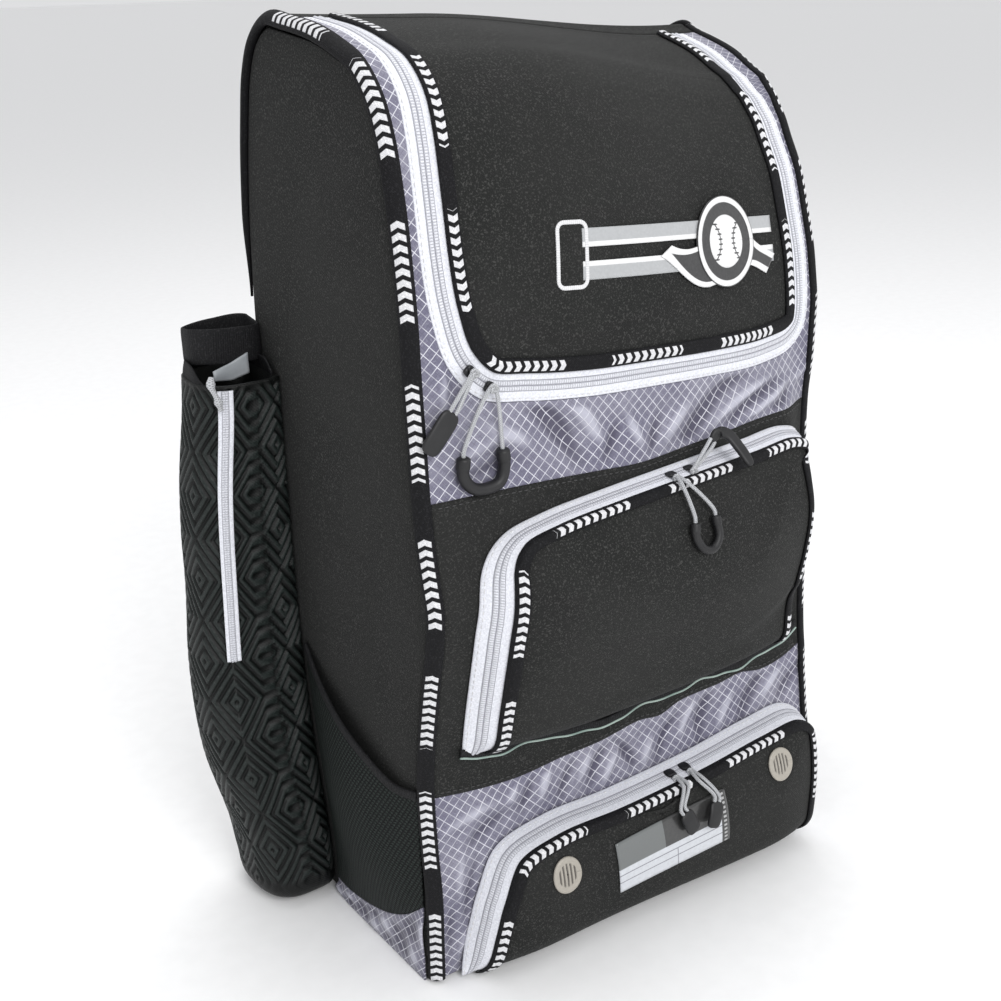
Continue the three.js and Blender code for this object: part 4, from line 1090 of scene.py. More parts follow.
HIGH_FOLDS = [
    (-134, 378, 14, 26, 5, 1.8),
    (-120, 366, 8, 24, 4, -1.8),
    (-108, 384, -30, 24, 6, 2.2),
    (-74, 384, -50, 34, 7, -3.6),
    (-50, 382, -50, 24, 6, 3.0),
    (-30, 362, 58, 14, 5, -3.2),
    (-12, 368, -62, 18, 5, 2.6),
    (6, 360, 74, 16, 5, -2.4),
    (24, 366, 44, 20, 5, 2.6),
    (42, 358, 40, 20, 6, -3.4),
    (66, 378, 22, 30, 5, -2.8),
    (82, 370, 21, 36, 4, 3.2),
    (98, 366, 21, 36, 4, -3.4),
    (114, 364, 21, 34, 4, 3.0),
    (130, 358, 22, 26, 5, -3.0),
    (150, 366, 34, 18, 5, 2.0),
    (-150, 420, 80, 34, 4, 1.8),
    (-143, 440, 84, 34, 3, -1.4),
    (-153, 500, 84, 40, 4, -1.6),
]
FLAP_FOLDS = [
    (-60, 470, 96, 60, 26, 1.2),
    (60, 500, 84, 60, 30, -1.4),
    (-20, 555, 4, 90, 16, 1.0),
    (110, 450, 60, 40, 14, 1.0),
]
MIDDLE_FOLDS = [
    (-60, 250, 20, 60, 22, -1.2),
    (40, 230, 160, 60, 20, 1.3),
    (80, 300, 40, 40, 14, -1.0),
    (-20, 185, 3, 90, 9, 1.2),
    (90, 190, 170, 50, 8, -1.2),
]


ACROSS = np.linspace(-FRONT_HALF, FRONT_HALF, 150)[None]
LOW_SEAM = level_line(LOW_LINE, ACROSS)
HIGH_SEAM = level_line(HIGH_LINE, ACROSS)


def full_width(name, start, end, rows, material, thick, wrinkles):
    """A sheet over the whole width between two lines, each a distance along the side view."""
    along = mix(start, end + 0 * ACROSS, np.linspace(0, 1, rows)[:, None])
    fade = smooth(np.minimum(along - start, end - along) / 8)
    fold = folds(ACROSS, along, wrinkles) * fade
    points = lift(ACROSS, along, fold)
    # The fold height rides in the lay's third value, where the ripstop paints shade in its valleys and a
    # highlight on its ridges.
    lay = stacked(ACROSS, along, fold)
    return add_sheet(name, points, lay, material, [name], INSIDE, thick)


full_width("lower_front_panel", LOW_START, LOW_SEAM - GAP, 110, RIPSTOP, CLOTH, LOW_FOLDS)
full_width("middle_front_panel", LOW_SEAM, HIGH_SEAM - GAP, 70, HEATHER, CLOTH, [])
full_width("back_panel", FLAP_END + GAP, BACK_END, 150, HEATHER, BACK_PAD, [])

YOKE_STRIP = 9.0
flap_over = [
    (FRONT_HALF - YOKE_STRIP, along_front(0.945 * HEIGHT)),
    (FRONT_HALF - YOKE_STRIP, FLAP_END),
]
flap_path = outline(FLAP_EDGE, flap_over, 1, 480)
run_strip("flap_zipper", flap_path, tape_section(-1.2, TAPE_THICK), no_rise, TAPE, ["flap_zipper"])
run_strip("flap_binding", flap_path, binding_section(2 * GAP), no_rise, EDGE, ["flap_binding"])
FAN_SHARES = np.linspace(0, 1, 30) ** 1.3


def flap_extra(x, along, within):
    """Long shallow folds, gone at the binding."""
    return folds(x, along, FLAP_FOLDS) * smooth((within - 28) / 30)


add_fan("top_flap", fan(flap_path, FAN_SHARES, no_rise, flap_extra), HEATHER, ["top_flap"], INSIDE, CLOTH)


def make_yoke():
    """The strip round the flap: straight lines from the zipper's outer edge to the side seams
    on both sides and to the seam below."""
    last = len(flap_path) - 1
    corner = int(np.argmax(flap_path[:, IN_X] < flap_path[:, IN_ALONG]))
    row = np.arange(last + 1)
    mirror = row > last / 2
    step = np.where(mirror, last - row, row)
    beside = step <= corner
    spread = mix(1.12, 1, (step - corner) / (last / 2 - corner))
    edge_x = np.clip(flap_path[:, X] * spread, -FRONT_HALF, FRONT_HALF)
    edge_x = np.where(beside, np.where(mirror, 1, -1) * FRONT_HALF, edge_x)
    seam = level_line(HIGH_LINE, edge_x)
    edge_along = np.where(beside, mix(FLAP_END, seam, step / corner), seam)
    share = np.linspace(0, 1, 46)[None]
    x = mix(edge_x[:, None], flap_path[:, None, X], share)
    along = mix(edge_along[:, None], flap_path[:, None, ALONG], share)
    fold = folds(x, along, HIGH_FOLDS) * smooth(np.minimum(share, 1 - share) / 0.15)
    points = lift(x, along, fold)
    # The fold height rides in the lay's third value, where the ripstop paints shade in its valleys and a
    # highlight on its ridges.
    add_sheet("yoke", points, np.stack([x, along, fold], axis=-1), RIPSTOP, ["yoke"], INSIDE, CLOTH)


make_yoke()


def front_pocket(name, edge, pocket, wrinkles):
    """A front pocket with its zipper and binding. Gives back its outline, its rise and how far
    its face stands out."""
    path = outline(edge, [], -1, 300, pocket["side"], pocket["top"], level_ends=True)
    foot = min(path[0, ALONG], path[-1, ALONG])

    def rise(deep, along):
        return pocket_rise(pocket, foot, deep, along)

    def top(x, along):
        return rise(depth_inside(path, x, along), along) + LAY + CLOTH

    def extra(x, along, within):
        return LAY + CLOTH + folds(x, along, wrinkles) * smooth((within - 24) / 24)

    run_strip(f"{name}_zipper", path, tape_section(LAY, 1.6), rise, TAPE, [f"{name}_zipper"])
    bound = binding_section(LAY + CLOTH + 2 * GAP)
    run_strip(f"{name}_binding", path, bound, rise, EDGE, [f"{name}_binding"])
    add_fan(name, fan(path, FAN_SHARES, rise, extra), HEATHER, [name], INSIDE, CLOTH)
    return path, rise, top


middle_path, middle_rise, middle_top = front_pocket(
    "middle_pocket", MIDDLE_EDGE, MIDDLE_POCKET, MIDDLE_FOLDS
)
shoe_path, shoe_rise, shoe_top = front_pocket("shoe_pocket", SHOE_EDGE, SHOE_POCKET, [])


def flat_top(x, along):
    return 0.0 * (x + along)


# Sides
def side_out(y, z):
    """How far the side swells: a double parabola, plus a flare at the front of the foot."""
    deep = np.clip((y / DEPTH + 0.42) / 1.02, 0, 1)
    tall = np.clip(z / (0.99 * HEIGHT), 0, 1)
    foot = (1 - smooth(z / (0.16 * HEIGHT))) * smooth((0.36 - y / DEPTH) / 0.2)
    return SIDE_SWELL * 4 * deep * (1 - deep) * 4 * tall * (1 - tall) + FOOT_FLARE * foot


def side_point(sign, y, z, off):
    y, z, off = np.broadcast_arrays(y, z, off)
    return np.stack([sign * (HALF + side_out(y, z) + off), y, z], axis=-1)


def side_panel(name, sign):
    """Level lines from just inside the front seam to just inside the back seam."""
    sunk = PIPING_SUNK + PIPING_RADIUS + 5 * GAP
    share = np.linspace(0, 1, 140)
    edge_x = sign * (HALF - PIPING_OUT)
    front = lift(edge_x, mix(along_front(0.5), along_top(0.05 * DEPTH), share), -sunk)
    back = lift(edge_x, mix(along_back(0.5), along_top(0.3 * DEPTH), share), -sunk)
    across = np.linspace(0, 1, 50)[None, :, None]
    line = mix(front[:, None], back[:, None], across)
    y, z = line[..., 1], np.maximum(0.4, line[..., 2])
    ripple = 0.8 * np.sin(z / 47 + y / 60) * np.sin(y / 38 + 1.2) * smooth(z / 80)
    points = side_point(sign, y, z, np.minimum(0, ripple - 0.2))
    add_sheet(name, points, np.stack([y, z], axis=-1), HEATHER, [name], INSIDE, SIDE_WALL)


def side_piping(name, sign):
    """A flat oval bound edge along the seam between front and side, up and over the top. Its
    broad face looks half outwards; the marks stop where it runs down the back, and it thins to its end."""
    along = np.linspace(along_front(BASE_THICK + 0.4), along_back(0.71 * HEIGHT), 420)
    edge_x = sign * (HALF - PIPING_OUT)
    path = lift(edge_x, along, -PIPING_SUNK)
    facing = lift(edge_x, along, 1 - PIPING_SUNK) - path + (0.8 * sign, 0, 0)
    angle = np.linspace(0, 2 * np.pi, 24, endpoint=False)
    section = np.stack([PIPING_THICK / 2 * np.cos(angle), PIPING_WIDE / 2 * np.sin(angle)], axis=1)
    unseen = np.where(np.cos(angle) < -0.1, 30 * np.sign(np.sin(angle) + 0.01), 0)[None]
    plain = 40 * (along > along_top(0.3 * DEPTH))[:, None]
    across = PIPING_CENTRE + section[None, :, 1] + unseen + plain
    lay = stacked(lengths(path)[:, None], across)
    shrink = mix(0.25, 1, smooth((along[-1] - along) / 60))
    add_tube(name, scaled(path, sweep(path, section, facing), shrink), lay, PIPE, [name])


def sleeve_sizes(z):
    """How far out, and the front and back ends in millimetres, at each height."""
    line = [spline(SLEEVE[:, [0, k]] * (HEIGHT, 1), 200) for k in (1, 2, 3)]
    out, front, back = (np.interp(z, row[:, 0], row[:, 1]) for row in line)
    return out, front * DEPTH, back * DEPTH


def sleeve_point(sign, z, angle, off):
    """The sleeve's section: a superellipse, squarer next to the side panel, and kept off it."""
    z, angle, off = np.broadcast_arrays(*(np.asarray(v, float) for v in (z, angle, off)))
    out, front, back = sleeve_sizes(z)
    power = np.where(np.cos(angle) < 0, 2 / 5, 2 / 2.5)
    wide, deep = out / 2 + off, (back - front) / 2 + off
    y = (front + back) / 2 - deep * np.sign(np.sin(angle)) * np.abs(np.sin(angle)) ** power
    x = HALF + out / 2 + wide * np.sign(np.cos(angle)) * np.abs(np.cos(angle)) ** power
    least = HALF + side_out(y, z) + LAY - np.minimum(0, off)
    return np.stack([sign * np.maximum(x, least), y, z], axis=-1)


def diamonds(u, v):
    """Nested diamonds: with d = |u| / half width + |v| / half height in the nearest cell, the
    pads are raised except in grooves where d is near a multiple of a third."""
    a, b = u / DIAMOND_HALF_WIDE, v / DIAMOND_HALF_TALL
    first = np.abs(a - 2 * np.round(a / 2)) + np.abs(b - 2 * np.round(b / 2))
    d = np.where(first <= 1, first, 2 - first)
    wave = np.abs((d * 3 + 0.5) % 1 - 0.5) * 2
    return smooth((wave - 0.24) / 0.34)


def bat_sleeve(name, sign):
    """A soft tube with a flat side on the panel: the outer skin from the foot's middle up, over
    the rim, and the lining down again. Pads stand above the grooves between them."""
    sides = 280
    angle = (np.arange(sides) + 0.5) / sides * 2 * np.pi + np.pi
    z = np.concatenate([np.linspace(SLEEVE[0, 0], 0.03, 10), np.linspace(0.033, SLEEVE[-1, 0], 315)]) * HEIGHT
    plain = sleeve_point(sign, z[:, None], angle[None], 0.0)
    steps = np.linalg.norm(np.diff(plain, axis=1), axis=2)
    around = np.concatenate([np.zeros((len(z), 1)), np.cumsum(steps, axis=1)], axis=1)
    front = int(np.argmin(np.abs(angle - 2.5 * np.pi)))
    u = around - around[:, front][:, None]
    v = z[:, None] + 0 * around
    shown = smooth((z[:, None] - 14) / 14) * smooth((SLEEVE_TOP - z[:, None]) / 6)
    shown = shown * smooth((np.cos(angle[None]) + 0.95) / 0.2)
    pads = 1 - (1 - diamonds(u, v - DIAMOND_FROM)) * shown
    crush = -1.6 * smooth((np.sin(z / 31) - 0.2))[:, None] * smooth(np.cos(angle[None] - 0.6))
    outer = sleeve_point(sign, z[:, None], angle[None], DIAMOND_DEEP * (pads - 1) + crush * shown)
    lining_z = np.linspace(SLEEVE[-1, 0], 0.012, 24) * HEIGHT
    inner = sleeve_point(sign, lining_z[:, None], angle[None], -SLEEVE_WALL)
    rings = np.concatenate([outer, inner])
    lining = stacked(u[:1], lining_z[:, None], 0.0)
    # The lay's third value marks the pads for the embossed cloth's painted highlight.
    add_tube(name, rings, np.concatenate([np.stack([u, v, pads * shown], -1), lining]), EMBOSSED, [name])


def sleeve_gusset(name, sign):
    """Soft cloth that joins the strap to the sleeve's rim all round but at the front: straight
    lines from the rim up to the strap, ending in slanted edges."""
    angle = np.linspace(GUSSET_START, GUSSET_END, 110)[None]
    share = np.linspace(0, 1, 14)[:, None]
    low = GUSSET_FROM * HEIGHT
    slant = smooth((GUSSET_END - angle) / 0.9) * smooth((angle - GUSSET_START + 0.2) / 0.5)
    high = low + GUSSET_TALL * slant + 0.4
    z = mix(low, high, share)
    slack = 1.1 * np.sin(9 * angle) * np.sin(np.pi * share)
    rim = sleeve_point(sign, low, angle, -0.8 + 0 * share)
    middle = np.array([sign * (HALF + sleeve_sizes(low)[0] / 2), (LOOP_FRONT + LOOP_BACK) / 2 * DEPTH, low])
    draw = 1 - 0.1 * share * (high - low) / GUSSET_TALL + slack / 60
    points = middle + (rim - middle) * draw[..., None]
    points[..., 2] = z
    add_sheet(name, points, stacked(40 * angle, z, 0.0), WEBBING, [], middle, 1.2)


def sleeve_zipper(name, sign):
    """A zipper up the sleeve's outer front: a strip with two coils, laid on the sleeve."""
    deep = np.concatenate([[0, 0.4], np.linspace(1.5, 11.5, 21), [12.6, SLEEVE_TAPE_WIDTH]])
    coils = sum(np.sqrt(np.clip(1 - ((deep - centre) / 1.1) ** 2, 0, 1)) for centre in SLEEVE_COILS)
    under = deep[::-3]
    section = np.concatenate([deep, under])
    upper = LAY + 1.0 + 0.7 * coils - 0.5 * (np.abs(deep - 6.5) > 6.3)
    height = np.concatenate([upper, np.full(len(under), LAY)])
    z = np.linspace(0.326, 0.632, 150) * HEIGHT
    out = sleeve_sizes(z)[0]
    angle = 1.1 + (section[None] / SLEEVE_TAPE_WIDTH - 0.5) * (19 / (0.9 * out))[:, None]
    rings = sleeve_point(sign, z[:, None], angle, height[None])
    lay = stacked(z[:, None], section[None])
    add_tube(name, rings, lay, SLEEVE_TAPE, [name])


def bat_strap(name, sign):
    """A soft loop above the sleeve: a flat section carried round a rounded square."""
    level = LOOP_LEVEL * HEIGHT
    middle = (LOOP_FRONT + LOOP_BACK) / 2 * DEPTH
    reach = (LOOP_BACK - LOOP_FRONT) / 2 * DEPTH
    angle = np.linspace(0, 2 * np.pi, 96, endpoint=False)
    c, s = rounded(angle, 0.7)
    y = middle - reach * s
    x = np.maximum(HALF + LOOP_OUT / 2 * (1 + c), HALF + side_out(y, level) + LOOP_THICK / 2 + LAY)
    path = np.stack([sign * x, y, level + 1.2 * np.sin(angle * 2)], axis=1)
    section = flat_section(LOOP_TALL, LOOP_THICK, 28)
    rings = sweep(path, section, UPWARD, closed=True)
    add_tube(name, rings, ring_lay(path, section), WEBBING, [name], closed=True)


def strap_tab(name, sign):
    """A small trapezoid of satin cloth below the strap's lower edge, slightly cupped."""
    across = np.linspace(0, 1, 14)[None]
    down = np.linspace(0, 1, 10)[:, None]
    corners = np.array([(186, 411, 14), (199, 406, 12), (212, 402.5, 7)])
    x, top, tall = (np.interp(across, [0, 0.5, 1], column) for column in corners.T)
    y = LOOP_FRONT * DEPTH - LOOP_THICK / 2 - GAP - 1.2 - 1.2 * np.sin(np.pi * down) * across
    points = stacked(sign * x, y, top - tall * down)
    lay = points[..., [0, 2]]
    add_sheet(name, points, lay, TAB, [name], (sign * 200, 130.0, 400.0), 1.2)


def sleeve_pull(name, sign):
    """A short cord through the sleeve's slider with a knot at its lower end."""
    knots = [sleeve_point(sign, SLEEVE_TOP, angle, off) * (1, 1, 0) + (0, 0, z)
             for angle, z, off in ((0.85, 405, 5), (0.85, 400, 7), (0.95, 391, 7), (1.0, 383, 6))]
    path = spline(np.array(knots), 60)
    share = np.linspace(0, 1, 61)
    knots_at = ((0.2, 0.12, 1.3), (0.75, 0.1, 1.2))
    swell = 1.7 + sum(more * np.exp(-(((share - at) / wide) ** 2)) for at, wide, more in knots_at)
    section = round_section(1.0, 14)
    rings = sweep(path, section, RIGHTWARD)
    rings = scaled(path, rings, swell)
    add_tube(name, rings, ring_lay(path, section), CORD, [name])


def beside(sign, share, z, off):
    """A point on the side between the front seam and the sleeve."""
    front = (PROFILE[0, 0] + 0.04) * DEPTH
    back = sleeve_sizes(z)[1] - 3
    return side_point(sign, mix(front, back, share), z, off)


def mesh_heights(across):
    low, high = (spline(MESH_EDGE[:, [0, k]] * (100, HEIGHT), 120) for k in (1, 2))
    return [np.interp(across * 100, line[:, 0], line[:, 1]) for line in (low, high)]


def mesh_pocket(name, sign):
    """A sheet that stands off the side: half a sine up and across, and a lip at the top."""
    across = np.linspace(0, 1, 70)[None]
    share = np.linspace(0, 1, 60)[:, None]
    low, high = mesh_heights(across)
    swell = MESH_SWELL * np.sin(np.pi * share) + MESH_LIP * share
    slack = 0.7 * np.sin(9 * across + 4 * share) * np.sin(np.pi * share)
    off = LAY + MESH_THICK + swell * np.sin(np.pi * across) + slack * np.sin(np.pi * across)
    points = beside(sign, across, mix(low, high, share), off)
    lay = np.stack([points[..., 1], points[..., 2]], axis=-1)
    add_sheet(name, points, lay, MESH, [name], INSIDE, MESH_THICK)
    path = points[-1] - (0, 0, 1.2)
    section = flat_section(6.5, 2.6, 16)
    rings = sweep(path, section, UPWARD)
    add_tube(f"{name}_elastic", rings, ring_lay(path, section), WEBBING)


def side_boot(name, sign):
    """The ripstop foot below the mesh."""
    across = np.linspace(0, 1, 60)[None]
    share = np.linspace(0, 1, 30)[:, None]
    low = mesh_heights(across)[0]
    ripple = np.sin(14 * across + 3 * share) + 0.7 * np.sin(31 * across - 7 * share)
    ripple = 1.1 * ripple * smooth(share / 0.3) * smooth((1 - share) / 0.3)
    points = beside(sign, across, mix(0.5, low - GAP, share), LAY + BOOT_THICK + ripple)
    # The ripple, scaled and lowered, rides in the lay's third value for the ripstop's painted shade and
    # highlight.
    lay = np.stack([points[..., 1], points[..., 2], 2.4 * ripple - 0.8], axis=-1)
    add_sheet(name, points, lay, RIPSTOP, [name], INSIDE, BOOT_THICK)


for side, sign in (("left", -1), ("right", 1)):
    side_panel(f"side_panel_{side}", sign)
    side_piping(f"piping_{side}", sign)
    bat_sleeve(f"bat_sleeve_{side}", sign)
    sleeve_gusset(f"sleeve_gusset_{side}", sign)
    sleeve_zipper(f"sleeve_zipper_{side}", sign)
    bat_strap(f"bat_strap_{side}", sign)
    strap_tab(f"strap_tab_{side}", sign)
    sleeve_pull(f"sleeve_pull_{side}", sign)
    mesh_pocket(f"mesh_pocket_{side}", sign)
    side_boot(f"side_boot_{side}", sign)

# Patches on the front
def patch_points(centre, turn, u, v, top, off):
    """Points of a patch: u and v turned about the patch's centre on the cloth, then lifted."""
    c, s = math.cos(turn), math.sin(turn)
    x = centre[0] + u * c - v * s
    along = centre[1] + u * s + v * c
    return lift(x, along, top(x, along) + off)


def flap_spot(across, up):
    return across * HALF, float(along_front(up * HEIGHT))


def plate(name, centre, turn, u, v, top, low, thick, material, nodes=()):
    """A thin sheet of print or card: a grid of u and v lying on the cloth."""
    u, v = np.meshgrid(u, v)
    points = patch_points(centre, turn, u, v, top, low + thick)
    return add_sheet(name, points, np.stack([u, v], axis=-1), material, nodes, INSIDE, thick)


def rounded_frame(wide, tall, corner, count=80):
    """Points round a rectangle with round corners, equally far apart."""
    turns = np.linspace(0, np.pi / 2, 7)
    spots = []
    for quarter, (right, up) in enumerate(((1, 1), (-1, 1), (-1, -1), (1, -1))):
        angle = turns + quarter * np.pi / 2
        spots.append(np.stack([right * (wide / 2 - corner) + corner * np.cos(angle),
                               up * (tall / 2 - corner) + corner * np.sin(angle)], axis=1))
    line = np.vstack(spots + [spots[0][:1]])
    run = lengths(line)
    wanted = np.linspace(0, run[-1], count, endpoint=False)
    return np.stack([np.interp(wanted, run, column) for column in line.T], axis=1)


STRIPES_AT, STRIPES_TURN = flap_spot(0.17, 0.766), -0.075


def flap_stripes():
    """Two bands, each with a pale edge towards the other, and a frame round their left end."""
    across = np.linspace(-80, 97, 90)
    upper, lower = np.linspace(4.2, 15.2, 10), np.linspace(-15.2, -4.2, 10)
    for name, rows, nodes in (("flap_stripes", upper, ["flap_stripes"]), ("flap_stripe_lower", lower, [])):
        plate(name, STRIPES_AT, STRIPES_TURN, across, rows, flat_top, LAY, 0.5, STRIPE, nodes)
    frame_line = rounded_frame(21, 38, 4.5)
    u, v = frame_line[:, 0] - 87.5, frame_line[:, 1]
    path = patch_points(STRIPES_AT, STRIPES_TURN, u, v, flat_top, LAY + 0.5)
    section = flat_section(2.6, 1.1, 14)
    facing = np.array([0.0, -1.0, 0.1])
    ahead = np.roll(path, -1, axis=0) - np.roll(path, 1, axis=0)
    rings = sweep(path, section, np.cross(ahead, facing), closed=True)
    add_tube("flap_frame", rings, ring_lay(path, section), THREAD, closed=True)


EMBLEM_AT = flap_spot(0.44, 0.762)


def flap_emblem():
    """A dark round badge with a raised rim and ball, over a waving dark pennant with a pale
    border. The height is a sum of two soft rings and a low dome."""
    share = np.linspace(0, 1, 60)[:, None]
    angle = np.linspace(0, 2 * np.pi, 129)[None]
    radius = 0.2 + 28.8 * share
    u, v = radius * np.cos(angle), radius * np.sin(angle)
    rim = 0.7 * np.exp(-(((radius - 26.5) / 1.4) ** 2))
    ball = 0.9 * smooth((17 - radius) / 1.2)
    points = patch_points(EMBLEM_AT, STRIPES_TURN, u, v, flat_top, LAY + 1.9 + rim + ball)
    add_sheet("flap_emblem", points, stacked(u, v), EMBLEM, ["flap_emblem"], INSIDE, 1.2)
    along = np.linspace(-1, 1, 80)[:, None]
    across = np.linspace(-1, 1, 20)[None]
    belly = smooth((along + 1) / 0.9) * (1 - smooth((along - 0.2) / 0.7))
    reach = 3 + 13 * belly + 3 * smooth((along - 0.6) / 0.3)
    u = -6 + 52 * along + 5 * across
    v = -10 - 6 * along + 5 * np.sin(3.4 * along) + reach * across
    points = patch_points(EMBLEM_AT, STRIPES_TURN, u, v, flat_top, LAY + 1.5)
    lay = stacked(reach * (1 - np.abs(across)), 0 * along)
    add_sheet("flap_ribbon", points, lay, RIBBON, [], INSIDE, 0.8)


LABEL_AT = flap_spot(0.04, 0.1)


def id_label():
    """A card behind clear film, with a stitched dark edge."""
    u, v = np.linspace(-49, 49, 50), np.linspace(-18, 18, 20)
    plate("id_label", LABEL_AT, 0.08, u, v, shoe_top, LAY, 0.8, LABEL, ["id_label"])


def vent(name, across, up):
    """A round eyelet: a domed rim round a sunk face that five upright slots cut into."""
    centre = flap_spot(across, up)
    radius = np.linspace(0.05, 1, 44)[:, None] * 11.5
    angle = np.linspace(0, 2 * np.pi, 97)[None]
    u, v = radius * np.cos(angle), radius * np.sin(angle)
    rim = np.exp(-(((radius - 9.8) / 1.6) ** 2)) * 0.6
    slot = smooth((0.27 - np.abs((u / 3.0 + 0.5) % 1 - 0.5)) / 0.1)
    slot = slot * smooth((7.6 - np.hypot(u, v * 1.02)) / 0.7)
    high = LAY + 0.9 + rim - slot - 0.7 * smooth((radius - 11.0) / 0.5)
    points = patch_points(centre, 0.0, u, v, shoe_top, high)
    lay = stacked(slot, radius)
    add_sheet(name, points, lay, VENT, [name], INSIDE, 0.8)


# Zipper pulls
SLIDER_LONG, SLIDER_FROM, SLIDER_TO, SLIDER_THICK = 8.0, 5.0, 12.0, 2.8
CORD_RADIUS, CORD_APART = 1.3, 2.2


def rows_between(path, places):
    low = np.minimum(places.astype(int), len(path) - 2)
    return mix(path[low], path[low + 1], (places - low)[:, None])


def zipper_pull(name, zipper, x, end, top, wide=0.0, over=False, rod=3.0):
    """A slider on the tape, a cord through it and a rubber end. Where wide is zero the end is a
    bent rod that holds both cord ends, rod its radius, otherwise a flat tongue of that width.
    end lists how far right of and above the zipper each of its points lies, and how far off the
    surface."""
    path, rise, tape_top = zipper
    after = int(np.argmax(path[:, X] >= x))
    place = after - 1 + (x - path[after - 1, X]) / (path[after, X] - path[after - 1, X])
    reach = SLIDER_LONG / 2 / np.linalg.norm(path[after, :2] - path[after - 1, :2])
    low = tape_top + GAP

    def on_tape(run, deep, high):
        spots = rows_between(path, place + run * reach)
        here_x, here_along = inset(spots, np.ravel(deep))
        if np.ndim(deep) == 0:
            here_x, here_along = here_x[:, 0], here_along[:, 0]
        return lift(here_x, here_along, rise(deep + 0 * here_along, here_along) + high)

    run = np.concatenate([[-1.0], np.linspace(-0.97, 0.97, 15), [1.0]])
    angle = np.linspace(0, 2 * np.pi, 28, endpoint=False)
    shape = rounded(angle, 0.55)
    width = (SLIDER_TO - SLIDER_FROM) / 2
    rings = []
    for spot in run:
        plump = (1 - abs(spot) ** 6) ** 0.5 * 0.85 + 0.15
        deep = (SLIDER_FROM + SLIDER_TO) / 2 + width * (1 - 0.12 * spot**2) * plump * shape[0]
        high = low + SLIDER_THICK / 2 * (1 + plump * shape[1])
        rings.append(on_tape(np.array([spot]), deep, high[None])[0])
    no_lay = np.zeros((len(run), len(angle), 2))
    add_tube(f"{name}_slider", np.array(rings), no_lay, METAL, [f"{name}_slider"])
    arch = np.linspace(-0.75, 0.75, 21)
    bridge = on_tape(arch, 8.5, low + SLIDER_THICK - 0.4 + 1.9 * (1 - (arch / 0.75) ** 4))
    add_tube(f"{name}_bridge", sweep(bridge, round_section(0.75), RIGHTWARD), np.zeros((21, 12, 2)), METAL)

    root = lift(*rows_between(path, np.array([place]))[0, :2], 0.0)
    end = np.array(end, float)
    end_x, end_along = x + end[:, 0], along_front(root[2] + end[:, 1])
    knots = lift(end_x, end_along, top(end_x, end_along) + end[:, 2])
    bent = wide == 0
    line = spline(knots, 70)
    first, last = (line[0], line[0] - line[3]), (line[-1], line[-1] - line[-4])
    ends = (first, last) if bent else (first, first)
    strands = []
    for number, (tip, away) in enumerate(ends):
        away = away / np.linalg.norm(away)
        aside = np.array([1.0, 0, 0]) - away[0] * away
        aside = aside / np.linalg.norm(aside) * (0 if bent else (CORD_APART if number else -CORD_APART))
        strand = [tip + aside - away, tip + aside + 3.5 * away]
        if over:
            lifted = LAY + CLOTH + 2 * GAP + BINDING_THICK + CORD_RADIUS + 5 * GAP
            spot = on_tape(np.array([0.0]), TAPE_WIDTH, lifted)[0]
            strand.append(spot + (CORD_APART if number else -CORD_APART, 0, 0))
        strands.append(strand)
    high = low + SLIDER_THICK + (5 if over else 2) * GAP + CORD_RADIUS
    apex = on_tape(np.array([0.0]), mix(SLIDER_FROM, SLIDER_TO, 0.7), high)[0]
    cord = spline(np.array(strands[0] + [apex] + strands[1][::-1]), 160)
    section = round_section(CORD_RADIUS, 12)
    carry(f"{name}_cord", cord, section, OUTWARD, CORD, [f"{name}_cord"])
    hitch(f"{name}_hitch", apex + (0, 0, -1.5))

    share = np.linspace(0, 1, 71)
    if bent:
        section = round_section(rod, 18)
        cuff = 1 + 0.14 * smooth((0.13 - np.minimum(share, 1 - share)) / 0.02)
        close = np.sqrt(smooth(np.minimum(share, 1 - share) / 0.02) * 0.6 + 0.4)
        scale = cuff * close
        rings = sweep(line, section, OUTWARD)
    else:
        section = flat_section(wide, 4.0, 30, 0.6)
        scale = (1 - (2 * share - 1) ** 6) ** 0.5 * 0.75 + 0.25
        rings = sweep(line, section, RIGHTWARD)
    rings = scaled(line, rings, scale)
    add_tube(f"{name}_end", rings, ring_lay(line, section), RUBBER, [f"{name}_end"])


def hitch(name, centre):
    """A small overhand knot: the curve ((2 + cos 3t) cos 2t, (2 + cos 3t) sin 2t, sin 3t)."""
    t = np.linspace(0, 2 * np.pi, 90, endpoint=False)
    bend = 2 + np.cos(3 * t)
    knot = np.stack([bend * np.cos(2 * t), 0.8 * np.sin(3 * t), bend * np.sin(2 * t)], axis=1) * 0.85
    path = centre + knot + (0, -0.6, 0)
    section = round_section(1.0, 8)
    carry(name, path, section, OUTWARD, CORD, closed=True)


